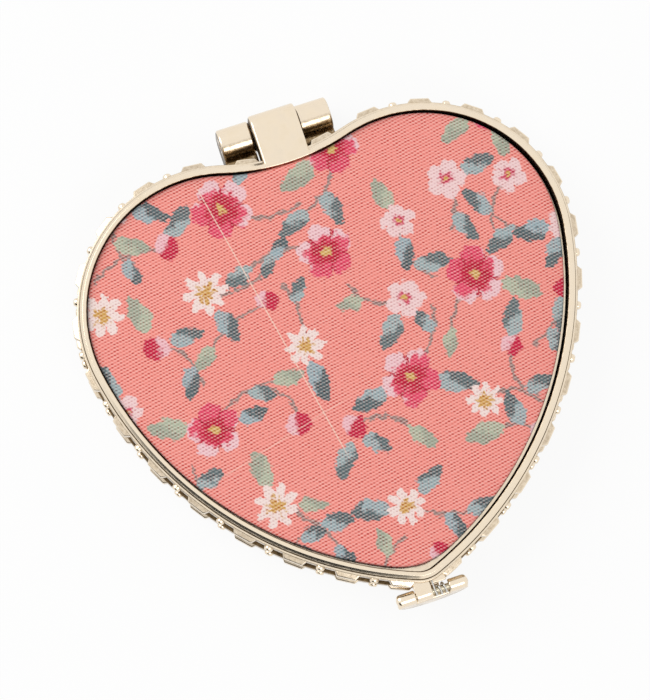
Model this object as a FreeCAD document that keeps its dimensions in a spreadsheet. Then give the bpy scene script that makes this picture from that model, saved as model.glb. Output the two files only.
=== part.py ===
import FreeCAD, Part
import math
import os
import re
import Sketcher

# A heart-shaped folding compact mirror, closed, lying on its base.
# Millimetres, +Z up, hinge towards +Y, clasp towards -Y. The origin is on the table, under the
# middle of the whole mirror. Each half is drawn in its own frame, with the seam between the two
# halves at z = 0 and its outer face at half_thickness. The lid is then lifted into place, and the
# base is the same half turned over about Y.

V = FreeCAD.Vector
X_AXIS = V(1, 0, 0)
Y_AXIS = V(0, 1, 0)
Z_AXIS = V(0, 0, 1)

DRIVING_SIZES = {
    # Heart outline, on the outer wall of the lip: six tangent arcs
    "lobe_radius": 19.2,
    "lobe_spacing": 27.8,
    "side_radius": 49.5,
    "tip_radius": 4.0,
    "cleft_radius": 29.8,
    "tip_reach": 41.5,
    "smallest_tip": 0.6,
    # Cast frames
    "half_thickness": 4.5,
    "seam_gap": 0.2,
    "lip_width": 0.9,
    "lip_bevel": 0.35,
    "recess_depth": 2.0,
    "flange_width": 2.2,
    "flange_thickness": 0.5,
    "mirror_rim": 1.5,
    "band_step": 0.4,
    "band_drop": 0.9,
    "band_height": 1.8,
    # Bars and dots round the band
    "bead_pitch": 7.1,
    "bead_hinge_space": 5.25,
    "bar_length": 3.6,
    "bar_height": 1.6,
    "bar_projection": 0.65,
    "bar_bevel": 0.3,
    "bar_taper": 0.55,
    "dot_diameter": 1.25,
    "dot_projection": 0.6,
    "dot_bevel": 0.4,
    "bead_root": 0.2,
    # Hinge at the cleft
    "hinge_setback": 4.85,
    "hinge_length": 15.4,
    "barrel_diameter": 4.5,
    "strap_width": 6.3,
    "knuckle_gap": 0.25,
    "knuckle_root": 0.14,
    "hinge_pin_diameter": 1.2,
    "pin_inset": 0.2,
    "running_clearance": 0.04,
    "press_clearance": 0.01,
    # Clasp at the point
    "clasp_setback": 1.7,
    "clasp_height": 2.0,
    "clasp_gap": 0.3,
    "lever_width": 9.8,
    "lever_thickness": 0.75,
    "lever_slot": 4.6,
    "lever_round": 0.3,
    "lever_flare": 0.64,
    "ear_diameter": 1.74,
    "lug_width": 2.2,
    "lug_diameter": 1.7,
    "lug_side_gap": 0.1,
    "clasp_pin_diameter": 0.8,
    "catch_width": 2.8,
    "catch_drop": 0.1,
    "catch_height": 1.2,
    "hook_width": 2.4,
    "hook_height": 0.7,
    "hook_grip": 0.45,
    # Torsion spring of the clasp
    "spring_wire": 0.26,
    "spring_diameter": 1.36,
    "spring_pitch": 0.68,
    "spring_side_gap": 0.22,
    "spring_leg_hole": 0.5,
    "spring_leg_depth": 0.45,
    # Padded fabric panels
    "panel_gap": 0.3,
    "panel_tip_radius": 12.0,
    "panel_shift_left": 0.15,
    "panel_shift_back": 0.2,
    "panel_tape_thickness": 0.1,
    "board_thickness": 0.4,
    "fabric_thickness": 0.3,
    "fabric_round": 0.45,
    "glue_line": 0.03,
    "crown_inset": 0.1,
    "crown_radius": 960.0,
    # Mirrors
    "mirror_clearance": 0.15,
    "mirror_thickness": 1.3,
    "mirror_tape_thickness": 0.2,
    "tape_margin": 0.4,
    "magnifier_radius": 1200.0,
    "magnifier_sag": 0.4,
}

SPRING_TURNS = 2
BIARCS_PER_TURN = 8
SAMPLES_PER_ARC = 6

WORKED_OUT_SIZES = {
    # Centres of the outline's arcs, measured from the line through the lobe centres
    "lobe_x": "lobe_spacing / 2",
    "tip_centre_y": "tip_radius - tip_reach",
    "tip_span": "sqrt(lobe_x^2 + tip_centre_y^2)",
    "side_along": "((side_radius - lobe_radius)^2 - (side_radius - tip_radius)^2 + tip_span^2)"
                  " / (2 * tip_span)",
    "side_off": "sqrt((side_radius - lobe_radius)^2 - side_along^2)",
    "side_x": "lobe_x - (side_along * lobe_x - side_off * tip_centre_y) / tip_span",
    "side_y": "(side_along * tip_centre_y + side_off * lobe_x) / tip_span",
    "cleft_centre_y": "sqrt((lobe_radius + cleft_radius)^2 - lobe_x^2)",
    # Places along Y: the box of the closed mirror is centred on the origin
    "barrel_radius": "barrel_diameter / 2",
    "ear_radius": "ear_diameter / 2",
    "back_reach": "cleft_centre_y - cleft_radius + hinge_setback + barrel_radius",
    "front_reach": "tip_reach + clasp_setback + ear_radius + lever_flare",
    "heart_y": "(front_reach - back_reach) / 2",
    "wall_y": "heart_y + cleft_centre_y - cleft_radius",
    "tip_y": "heart_y - tip_reach",
    "hinge_y": "wall_y + hinge_setback",
    "clasp_y": "tip_y - clasp_setback",
    "dome_y": "(wall_y + tip_y) / 2",
    # Levels above the seam
    "rim_level": "seam_gap / 2",
    "band_level": "half_thickness - band_drop - band_height",
    "ledge": "half_thickness - recess_depth",
    "flange_under": "ledge - flange_thickness",
    "mirror_back": "flange_under - mirror_tape_thickness",
    "mirror_front": "mirror_back - mirror_thickness",
    "board_bottom": "ledge + panel_tape_thickness",
    "board_top": "board_bottom + board_thickness",
    "crown_top": "half_thickness - crown_inset",
    "core_top": "crown_top - fabric_thickness",
    # Insets from the outer wall, with the radius of the heart's point at each
    "opening_inset": "lip_width + flange_width",
    "opening_tip": "max(tip_radius - opening_inset; smallest_tip)",
    "recess_tip": "max(tip_radius - lip_width; smallest_tip)",
    "seat_tip": "max(tip_radius - mirror_rim; smallest_tip)",
    "mirror_inset": "mirror_rim + mirror_clearance",
    "mirror_tip": "max(tip_radius - mirror_inset; smallest_tip)",
    "mirror_tape_inset": "mirror_rim + tape_margin",
    "mirror_tape_tip": "max(tip_radius - mirror_tape_inset; smallest_tip)",
    "panel_inset": "lip_width + panel_gap",
    "panel_tape_inset": "panel_inset + tape_margin",
    "core_inset": "panel_inset + fabric_thickness",
    "core_tip": "panel_tip_radius - fabric_thickness",
    "pad_inset": "core_inset + glue_line",
    "pad_tip": "core_tip - glue_line",
    "pad_top": "core_top - glue_line",
    # Hinge and clasp details
    "knuckle_length": "(hinge_length - strap_width) / 2 - knuckle_gap",
    "lug_radius": "lug_diameter / 2",
    "lug_left": "lug_side_gap - lever_slot / 2",
    "spring_left": "lug_left + lug_width + spring_side_gap + spring_wire / 2",
    "spring_right": "spring_left + spring_run",
    "spring_radius": "spring_diameter / 2",
    "stop_left": "lug_left + lug_width + lug_side_gap",
    "stop_width": "lever_slot / 2 - lug_side_gap - stop_left",
    "stop_top": "clasp_height + spring_radius - spring_wire / 2 - press_clearance",
    "stop_y": "clasp_y + spring_radius + spring_wire / 2 + lug_side_gap",
    "slot_floor": "clasp_height - lug_radius - clasp_gap",
    "plate_front": "clasp_y - ear_radius",
    "plate_back": "plate_front + lever_thickness",
    "catch_y": "plate_back + clasp_gap",
    "catch_top": "rim_level + catch_drop",
    "hook_top": "-catch_top - catch_height - clasp_gap",
    "hook_y": "catch_y + hook_grip",
}

doc = FreeCAD.newDocument("HeartCompactMirror")
sheet = doc.addObject("Spreadsheet::Sheet", "Sizes")


def fill_sheet():
    """Write every size to the sheet, one named cell each."""
    rows = {name: str(number) for name, number in DRIVING_SIZES.items()}
    rows["spring_run"] = f"=({SPRING_TURNS} + 0.25) * spring_pitch"
    rows.update({name: "=" + formula for name, formula in WORKED_OUT_SIZES.items()})
    for row, (name, content) in enumerate(rows.items(), start=1):
        sheet.set(f"A{row}", name)
        sheet.set(f"B{row}", content)
        sheet.setAlias(f"B{row}", name)
    doc.recompute()
    return set(rows)


SIZE_NAMES = fill_sheet()


def formula(text):
    """Turn a formula in plain size names into one that other objects can use."""
    return re.sub(r"[a-z][a-z_]+", lambda word: "Sizes." + word[0] if word[0] in SIZE_NAMES else word[0], text)


def number(text):
    """Return what a formula in size names comes to, in millimetres."""
    return float(sheet.evalExpression(formula(text)))


def bind(target, prop, text):
    target.setExpression(prop, formula(text))


def new_body(name):
    return doc.addObject("PartDesign::Body", name)


def new_sketch(body, name, plane, across="0", up="0", out="0"):
    """Add a sketch on one of the body's own planes, shifted in it and off it."""
    sketch = body.newObject("Sketcher::SketchObject", name)
    support = next(f for f in body.Origin.OriginFeatures if f.Role == plane)
    sketch.AttachmentSupport = [(support, "")]
    sketch.MapMode = "FlatFace"
    for axis, text in zip("xyz", (across, up, out)):
        bind(sketch, f"AttachmentOffset.Base.{axis}", text)
    return sketch


def constrain(sketch, kind, *parts, text):
    """Add a measured constraint and tie it to a formula."""
    index = sketch.addConstraint(Sketcher.Constraint(kind, *parts, number(text)))
    bind(sketch, f"Constraints[{index}]", text)


def place_point(sketch, geometry, point, across, up):
    """Fix one point of a sketch at two measured distances from its origin."""
    constrain(sketch, "DistanceX", -1, 1, geometry, point, text=across)
    constrain(sketch, "DistanceY", -1, 1, geometry, point, text=up)


def draw_polygon(sketch, corners):
    points = [V(number(across), number(up), 0) for across, up in corners]
    count = len(points)
    for index in range(count):
        sketch.addGeometry(Part.LineSegment(points[index], points[(index + 1) % count]))
    for index, (across, up) in enumerate(corners):
        sketch.addConstraint(Sketcher.Constraint("Coincident", index, 2, (index + 1) % count, 1))
        place_point(sketch, index, 1, across, up)


def draw_circle(sketch, across, up, radius):
    centre = V(number(across), number(up), 0)
    sketch.addGeometry(Part.Circle(centre, Z_AXIS, number(radius)))
    constrain(sketch, "Radius", 0, text=radius)
    place_point(sketch, 0, 3, across, up)


def heart_arcs(grow, tip):
    """Return the heart's arcs, offset by grow, as (centre, radius, start, end), in degrees."""
    lobe_x, side_x, side_y = number("lobe_x"), number("side_x"), number("side_y")
    lobe = number("lobe_radius") + grow
    side = number("side_radius") + grow
    cleft = number("cleft_radius") - grow
    cleft_y = number("cleft_centre_y")
    tip_y = side_y - math.sqrt((side - tip) ** 2 - side_x ** 2)
    lobe_cleft = math.degrees(math.atan2(cleft_y, -lobe_x))
    lobe_side = math.degrees(math.atan2(-side_y, lobe_x - side_x))
    side_tip = math.degrees(math.atan2(tip_y - side_y, -side_x))
    return [
        (V(0, cleft_y, 0), cleft, lobe_cleft - 360 + 180 - 2 * (lobe_cleft - 90), lobe_cleft - 180),
        (V(lobe_x, 0, 0), lobe, lobe_side, lobe_cleft),
        (V(side_x, side_y, 0), side, side_tip, lobe_side),
        (V(0, tip_y, 0), tip, -180 - side_tip, side_tip),
        (V(-side_x, side_y, 0), side, 180 - lobe_side, 180 - side_tip),
        (V(-lobe_x, 0, 0), lobe, 180 - lobe_cleft, 180 - lobe_side),
    ]


def draw_heart(body, name, grow, tip, level, across="0", back="0"):
    """Draw the heart offset by grow, with its own radius at the point, at a level above the seam."""
    sketch = new_sketch(body, name, "XY_Plane", across, f"heart_y + {back}", level)
    for centre, radius, start, end in heart_arcs(number(grow), number(tip)):
        circle = Part.Circle(centre, Z_AXIS, radius)
        sketch.addGeometry(Part.ArcOfCircle(circle, math.radians(start), math.radians(end)))
    cleft, lobe, side, point, left_side, left_lobe = range(6)
    start, end, centre, origin, upright = 1, 2, 3, -1, -2
    joins = [
        (cleft, end, lobe, end),
        (lobe, start, side, end),
        (side, start, point, end),
        (point, start, left_side, end),
        (left_side, start, left_lobe, end),
        (left_lobe, start, cleft, start),
    ]
    for join in joins:
        sketch.addConstraint(Sketcher.Constraint("Tangent", *join))
    sketch.addConstraint(Sketcher.Constraint("Symmetric", lobe, centre, left_lobe, centre, upright))
    sketch.addConstraint(Sketcher.Constraint("Symmetric", side, centre, left_side, centre, upright))
    sketch.addConstraint(Sketcher.Constraint("Equal", lobe, left_lobe))
    constrain(sketch, "Radius", cleft, text=f"cleft_radius - ({grow})")
    constrain(sketch, "Radius", lobe, text=f"lobe_radius + ({grow})")
    constrain(sketch, "Radius", side, text=f"side_radius + ({grow})")
    constrain(sketch, "Radius", point, text=tip)
    constrain(sketch, "DistanceX", origin, 1, lobe, centre, text="lobe_x")
    constrain(sketch, "DistanceY", origin, 1, lobe, centre, text="0")
    constrain(sketch, "DistanceX", side, centre, origin, 1, text="-side_x")
    return sketch


def pad(body, name, sketch, length, backwards=False):
    feature = body.newObject("PartDesign::Pad", name)
    feature.Profile = sketch
    feature.Reversed = backwards
    bind(feature, "Length", length)
    return feature


def pocket(body, name, sketch, length, backwards=False):
    """Cut against the sketch's normal, or along it if backwards, and check that it cuts."""
    doc.recompute()
    before = body.Shape.Volume
    feature = body.newObject("PartDesign::Pocket", name)
    feature.Profile = sketch
    feature.Reversed = backwards
    bind(feature, "Length", length)
    doc.recompute()
    if not body.Shape.Volume < before:
        raise RuntimeError(f"{body.Name}: {name} cuts nothing")
    return feature


def edge_names(shape, wanted):
    return [f"Edge{index}" for index, edge in enumerate(shape.Edges, start=1) if wanted(edge)]


def dress(body, kind, name, size, wanted, prop):
    """Round or chamfer the edges of the body that a test picks."""
    doc.recompute()
    base = body.Tip
    feature = body.newObject(f"PartDesign::{kind}", name)
    feature.Base = (base, edge_names(base.Shape, wanted))
    bind(feature, prop, size)
    return feature


def lies_at(edge, axis, level):
    """Say whether an edge lies wholly in the plane where one coordinate has a value."""
    return all(abs(getattr(vertex.Point, axis) - level) < 1e-6 for vertex in edge.Vertexes)


def cut_cap(body, name, apex, radius, reach, far_level):
    """Turn a shallow spherical cap off a body, about the upright axis through the panel's middle."""
    sketch = new_sketch(body, name + "_profile", "XZ_Plane", out="-dome_y")
    centre_level = number(f"{apex} - {radius}")
    edge_level = centre_level + math.sqrt(number(radius) ** 2 - number(reach) ** 2)
    top = V(0, number(apex), 0)
    edge = V(number(reach), edge_level, 0)
    corner = V(number(reach), number(far_level), 0)
    axis_end = V(0, number(far_level), 0)
    circle = Part.Circle(V(0, centre_level, 0), Z_AXIS, number(radius))
    rim_angle = math.atan2(edge_level - centre_level, number(reach))
    sketch.addGeometry(Part.ArcOfCircle(circle, rim_angle, math.pi / 2))
    for first, second in ((top, axis_end), (axis_end, corner), (corner, edge)):
        sketch.addGeometry(Part.LineSegment(first, second))
    for join in ((0, 2, 1, 1), (1, 2, 2, 1), (2, 2, 3, 1), (3, 2, 0, 1)):
        sketch.addConstraint(Sketcher.Constraint("Coincident", *join))
    constrain(sketch, "Radius", 0, text=radius)
    place_point(sketch, 0, 3, "0", f"{apex} - {radius}")
    constrain(sketch, "DistanceX", -1, 1, 0, 2, text="0")
    constrain(sketch, "DistanceX", -1, 1, 0, 1, text=reach)
    place_point(sketch, 1, 2, "0", far_level)
    place_point(sketch, 2, 2, reach, far_level)
    doc.recompute()
    before = body.Shape.Volume
    feature = body.newObject("PartDesign::Groove", name)
    feature.Profile = sketch
    feature.ReferenceAxis = (sketch, ["V_Axis"])
    feature.Angle = 360
    doc.recompute()
    if not body.Shape.Volume < before:
        raise RuntimeError(f"{body.Name}: {name} cuts nothing")


def make_ring(half):
    """Cast ring of one half: wall, band, recess for the panel, seat for the mirror, open middle."""
    body = new_body(half + "_ring")
    wall = draw_heart(body, "wall_outline", "0", "tip_radius", "rim_level")
    pad(body, "wall", wall, "half_thickness - rim_level")
    band = draw_heart(body, "band_outline", "band_step", "tip_radius + band_step", "band_level")
    pad(body, "band", band, "band_height")
    top = number("half_thickness")
    dress(body, "Chamfer", "lip_edge", "lip_bevel", lambda edge: lies_at(edge, "z", top), "Size")
    recess = draw_heart(body, "recess_outline", "-lip_width", "recess_tip", "half_thickness")
    pocket(body, "recess", recess, "recess_depth")
    seat = draw_heart(body, "seat_outline", "-mirror_rim", "seat_tip", "rim_level")
    pocket(body, "mirror_seat", seat, "flange_under - rim_level", backwards=True)
    opening = draw_heart(body, "opening_outline", "-opening_inset", "opening_tip", "half_thickness")
    pocket(body, "opening", opening, "half_thickness")
    return body


def add_hinge_block(body, name, left, width, root):
    """Add a knuckle: a block as thick as the half, rounded over at the back, and its barrel."""
    back = "hinge_y + barrel_radius"
    block = new_sketch(body, name + "_block_outline", "YZ_Plane", out=left)
    corners = [(root, "rim_level"), (back, "rim_level"), (back, "half_thickness"), (root, "half_thickness")]
    draw_polygon(block, corners)
    pad(body, name + "_block", block, width)
    barrel = new_sketch(body, name + "_barrel_outline", "YZ_Plane", out=left)
    draw_circle(barrel, "hinge_y", "0", "barrel_radius")
    pad(body, name + "_barrel", barrel, width)


def round_hinge_blocks(body):
    """Round the top back edge of every hinge block over the barrel."""
    back, top = number("hinge_y + barrel_radius"), number("half_thickness")
    dress(body, "Fillet", "hinge_rounds", "barrel_radius",
          lambda edge: lies_at(edge, "y", back) and lies_at(edge, "z", top), "Radius")


def bore_hinge(body, clearance):
    bore = new_sketch(body, "hinge_bore_outline", "YZ_Plane", out="-hinge_length / 2")
    draw_circle(bore, "hinge_y", "0", f"hinge_pin_diameter / 2 + {clearance}")
    pocket(body, "hinge_bore", bore, "hinge_length", backwards=True)


def add_block(body, name, left, width, corners):
    """Add a prism along X from a polygon of (y, z) corners."""
    sketch = new_sketch(body, name + "_outline", "YZ_Plane", out=left)
    draw_polygon(sketch, corners)
    return pad(body, name, sketch, width)


def add_clasp_lug(body):
    """Add the lug that carries the clasp pin and, beside it, the stop for the spring's leg."""
    root = "tip_y + lip_width / 2"
    low, high = "clasp_height - lug_radius", "clasp_height + lug_radius"
    lug = [("clasp_y", low), (root, low), (root, high), ("clasp_y", high)]
    add_block(body, "clasp_lug", "lug_left", "lug_width", lug)
    barrel = new_sketch(body, "clasp_barrel_outline", "YZ_Plane", out="lug_left")
    draw_circle(barrel, "clasp_y", "clasp_height", "lug_radius")
    pad(body, "clasp_barrel", barrel, "lug_width")
    stop = [("stop_y", low), (root, low), (root, "stop_top"), ("stop_y", "stop_top")]
    add_block(body, "spring_stop", "stop_left", "stop_width", stop)
    bore = new_sketch(body, "clasp_bore_outline", "YZ_Plane", out="lug_left")
    draw_circle(bore, "clasp_y", "clasp_height", "clasp_pin_diameter / 2 + press_clearance")
    pocket(body, "clasp_bore", bore, "lug_width", backwards=True)


def add_catch(body):
    """Add the catch at the base's point, sloped on the side where the hook rides over it."""
    root = "tip_y + lip_width / 2"
    low = "catch_top + catch_height"
    ramp_y, ramp_level = "(tip_y + catch_y) / 2", "catch_top + catch_height / 2"
    corners = [(root, "catch_top"), (ramp_y, "catch_top"), ("catch_y", ramp_level), ("catch_y", low), (root, low)]
    add_block(body, "catch", "-catch_width / 2", "catch_width", corners)


def bead_places(clear_half_width):
    """Return the bars' and the dots' places, as (point, outward angle) along the band.

    They are spaced evenly from the point to the hinge, on the right and mirrored on the left,
    apart from those nearer to the middle at the back than clear_half_width.
    """
    grow = number("band_step")
    arcs = heart_arcs(grow, number("tip_radius") + grow)
    cleft, lobe, side, tip = arcs[:4]
    right_half = [
        (tip[0], tip[1], -90, tip[3], 1),
        (side[0], side[1], side[2], side[3], 1),
        (lobe[0], lobe[1], lobe[2], lobe[3], 1),
        (cleft[0], cleft[1], cleft[3], -90, -1),
    ]
    lengths = [radius * math.radians(abs(end - start)) for _, radius, start, end, _ in right_half]
    usable = sum(lengths) - number("bead_hinge_space")
    steps = round(usable / number("bead_pitch") - 0.5)
    pitch = usable / (steps + 0.5)

    def place(distance):
        for (centre, radius, start, end, outward), length in zip(right_half, lengths):
            if distance <= length:
                angle = start + (end - start) * distance / length
                normal = V(math.cos(math.radians(angle)), math.sin(math.radians(angle)), 0)
                point = centre + normal * radius
                return point, normal * outward
            distance -= length
        raise ValueError("the bead lies past the middle of the cleft")

    def both_sides(distances):
        places = []
        for point, normal in map(place, distances):
            if point.y < 0 or point.x - number("bar_length") / 2 > clear_half_width:
                for mirror in (1, -1):
                    places.append((V(mirror * point.x, point.y, 0), V(mirror * normal.x, normal.y, 0)))
        return places

    bars = both_sides((step + 0.5) * pitch for step in range(steps + 1))
    dots = both_sides(step * pitch for step in range(1, steps + 1))
    return bars, dots


def make_beads(half, clear_half_width):
    """Bars and dots of one half, each rooted in the band."""
    root, reach = number("bead_root"), number("bar_projection")
    half_length, half_height = number("bar_length / 2"), number("bar_height / 2")
    face_length, face_height = number("bar_length / 2 - bar_taper"), number("bar_height / 2 - bar_bevel")
    bar = Part.makeWedge(-half_length, -root, -half_height, -face_height, -face_length,
                         half_length, reach, half_height, face_height, face_length)
    radius, dot_reach, dot_bevel = number("dot_diameter / 2"), number("dot_projection"), number("dot_bevel")
    shank = Part.makeCylinder(radius, root + dot_reach - dot_bevel, V(0, -root, 0), Y_AXIS)
    crown = Part.makeCone(radius, radius - dot_bevel, dot_bevel, V(0, dot_reach - dot_bevel, 0), Y_AXIS)
    dot = shank.fuse(crown)
    level = number("band_level + band_height / 2")
    beads = []
    for shape, places in zip((bar, dot), bead_places(clear_half_width)):
        for point, normal in places:
            bead = shape.copy()
            turn = FreeCAD.Rotation(Z_AXIS, math.degrees(math.atan2(-normal.x, normal.y)))
            bead.Placement = FreeCAD.Placement(point + V(0, number("heart_y"), level), turn)
            beads.append(bead)
    feature = doc.addObject("Part::Feature", half + "_beads")
    feature.Shape = Part.makeCompound(beads)
    return feature


def fuse(label, pieces):
    feature = doc.addObject("Part::MultiFuse", label)
    feature.Shapes = pieces
    feature.Refine = True
    return feature


def make_lid_frame():
    body = make_ring("lid")
    add_hinge_block(body, "strap", "-strap_width / 2", "strap_width", "wall_y - lip_width / 2")
    round_hinge_blocks(body)
    bore_hinge(body, "running_clearance")
    add_clasp_lug(body)
    return fuse("lid_frame", [body, make_beads("lid", number("strap_width / 2"))])


def make_base_frame():
    body = make_ring("base")
    root = "wall_y + knuckle_root"
    add_hinge_block(body, "left_knuckle", "-hinge_length / 2", "knuckle_length", root)
    add_hinge_block(body, "right_knuckle", "strap_width / 2 + knuckle_gap", "knuckle_length", root)
    round_hinge_blocks(body)
    bore_hinge(body, "press_clearance")
    add_catch(body)
    return fuse("base_frame", [body, make_beads("base", number("hinge_length / 2"))])


def make_heart_prism(name, inset, tip, level, thickness, shifted=False):
    body = new_body(name)
    across, back = ("-panel_shift_left", "panel_shift_back") if shifted else ("0", "0")
    outline = draw_heart(body, name + "_outline", f"-{inset}", tip, level, across, back)
    pad(body, name + "_sheet", outline, thickness)
    return body


def make_crowned_prism(name, inset, tip, level, top):
    """A panel-shaped block whose top is a shallow crown."""
    body = make_heart_prism(name, inset, tip, level, f"{top} - {level}", shifted=True)
    cut_cap(body, name + "_crown", top, "crown_radius", "tip_reach", "half_thickness + crown_inset")
    return body


def make_tape(name, inset, tip, level, thickness):
    """A ring of tape on the flange, open like the flange in the middle."""
    body = make_heart_prism(name, inset, tip, level, thickness)
    opening = draw_heart(body, name + "_opening", "-opening_inset - tape_margin / 2", "opening_tip", level)
    pocket(body, name + "_middle", opening, thickness, backwards=True)
    return body


def make_fabric(half):
    """Cloth drawn over the pad and down the board's edge, rounded at the rim."""
    cover = make_crowned_prism(half + "_cover", "panel_inset", "panel_tip_radius", "board_bottom", "crown_top")
    low = number("board_bottom")
    dress(cover, "Fillet", half + "_cover_round", "fabric_round",
          lambda edge: min(vertex.Z for vertex in edge.Vertexes) > low + 1e-6, "Radius")
    core = make_crowned_prism(half + "_core", "core_inset", "core_tip", "board_bottom", "core_top")
    feature = doc.addObject("Part::Cut", half + "_fabric")
    feature.Base = cover
    feature.Tool = core
    return feature


def make_panel(half):
    tape = make_tape(half + "_panel_tape", "panel_tape_inset", "panel_tip_radius", "ledge", "panel_tape_thickness")
    board = make_heart_prism(half + "_panel_board", "pad_inset", "pad_tip", "board_bottom", "board_thickness", shifted=True)
    pad_body = make_crowned_prism(half + "_foam_pad", "pad_inset", "pad_tip", "board_top", "pad_top")
    return [tape, board, pad_body, make_fabric(half)]


def make_mirror(half, magnifies):
    """Mirror glass and the tape behind it. The magnifier's face is hollowed."""
    tape = make_tape(half + "_mirror_tape", "mirror_tape_inset", "mirror_tape_tip", "mirror_back", "mirror_tape_thickness")
    glass = make_heart_prism(half + "_mirror", "mirror_inset", "mirror_tip", "mirror_front", "mirror_thickness")
    if magnifies:
        cut_cap(glass, half + "_hollow", "mirror_front + magnifier_sag", "magnifier_radius",
                "sqrt(2 * magnifier_radius * magnifier_sag - magnifier_sag^2)", "mirror_front - magnifier_sag")
    return [tape, glass]


def make_pin(name, diameter, length, across, up):
    """A plain pin along X, centred on the middle plane."""
    pin = doc.addObject("Part::Cylinder", name)
    pin.Placement = FreeCAD.Placement(V(0, 0, 0), FreeCAD.Rotation(Y_AXIS, 90))
    bind(pin, "Radius", f"({diameter}) / 2")
    bind(pin, "Height", length)
    bind(pin, "Placement.Base.x", f"-({length}) / 2")
    bind(pin, "Placement.Base.y", across)
    bind(pin, "Placement.Base.z", f"half_thickness + {up}")
    return pin


def make_clasp_lever():
    """Half-round plate hung from two ears, leaning outwards, slotted for the lug, with a hook behind."""
    body = new_body("clasp_lever")
    plate = new_sketch(body, "plate_outline", "XZ_Plane", up="clasp_height", out="-plate_front")
    lean = math.degrees(math.asin(number("lever_flare / (lever_width / 2 - lever_round)")))
    plate.AttachmentOffset = FreeCAD.Placement(plate.AttachmentOffset.Base, FreeCAD.Rotation(X_AXIS, -lean))
    radius = number("lever_width / 2")
    plate.addGeometry(Part.ArcOfCircle(Part.Circle(V(0, 0, 0), Z_AXIS, radius), math.pi, 2 * math.pi))
    plate.addGeometry(Part.LineSegment(V(radius, 0, 0), V(-radius, 0, 0)))
    plate.addConstraint(Sketcher.Constraint("Coincident", 0, 2, 1, 1))
    plate.addConstraint(Sketcher.Constraint("Coincident", 1, 2, 0, 1))
    plate.addConstraint(Sketcher.Constraint("Coincident", 0, 3, -1, 1))
    plate.addConstraint(Sketcher.Constraint("Horizontal", 1))
    plate.addConstraint(Sketcher.Constraint("PointOnObject", 1, 1, -1))
    constrain(plate, "Radius", 0, text="lever_width / 2")
    pad(body, "plate", plate, "lever_thickness", backwards=True)
    front = number("plate_front")
    dress(body, "Fillet", "plate_round", "lever_round",
          lambda edge: isinstance(edge.Curve, Part.Circle) and abs(edge.Curve.Center.y - front) < 1e-6, "Radius")
    for side, left in (("left", "-lever_width / 2"), ("right", "lever_slot / 2")):
        ear = new_sketch(body, side + "_ear_outline", "YZ_Plane", out=left)
        draw_circle(ear, "clasp_y", "clasp_height", "ear_radius")
        pad(body, side + "_ear", ear, "(lever_width - lever_slot) / 2")
    slot = new_sketch(body, "slot_outline", "XZ_Plane", out="lever_flare - plate_front")
    half_slot = "lever_slot / 2"
    high = "clasp_height + ear_radius"
    draw_polygon(slot, [(f"-{half_slot}", "slot_floor"), (half_slot, "slot_floor"), (half_slot, high), (f"-{half_slot}", high)])
    pocket(body, "slot", slot, "ear_diameter + lever_flare")
    hook_root = "plate_back - lever_thickness / 2 - lever_flare * 0.8"
    hook = [(hook_root, "hook_top"), ("hook_y", "hook_top"),
            ("plate_back - lever_flare / 2", "hook_top - hook_height"), (hook_root, "hook_top - hook_height")]
    add_block(body, "hook", "-hook_width / 2", "hook_width", hook)
    bore = new_sketch(body, "ear_bore_outline", "YZ_Plane", out="-lever_width / 2")
    draw_circle(bore, "clasp_y", "clasp_height", "clasp_pin_diameter / 2 + running_clearance")
    pocket(body, "ear_bore", bore, "lever_width", backwards=True)
    leg_hole = new_sketch(body, "leg_hole_outline", "XY_Plane", out="slot_floor")
    draw_circle(leg_hole, "spring_right", "clasp_y - spring_radius", "spring_leg_hole / 2")
    pocket(body, "leg_hole", leg_hole, "spring_leg_depth + press_clearance")
    return body


def biarc(start, start_way, end, end_way):
    """Join two points by two arcs that leave and arrive along the given ways."""
    chord = end - start
    ways = start_way + end_way
    turn = 2 * (1 - start_way.dot(end_way))
    reach = chord.dot(ways)
    handle = (math.sqrt(reach ** 2 + turn * chord.dot(chord)) - reach) / turn
    near, far = start + start_way * handle, end - end_way * handle
    joint = (near + far) * 0.5
    arcs = []
    for first, corner, last in ((start, near, joint), (joint, far, end)):
        middle = (first + last) * 0.5
        half_turn = (corner - middle).Length / (first - middle).Length
        sagitta = (first - middle).Length * math.tan(math.atan(half_turn) / 2)
        arcs.append(Part.Arc(first, middle + (corner - middle).normalize() * sagitta, last).toShape())
    return arcs


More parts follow.
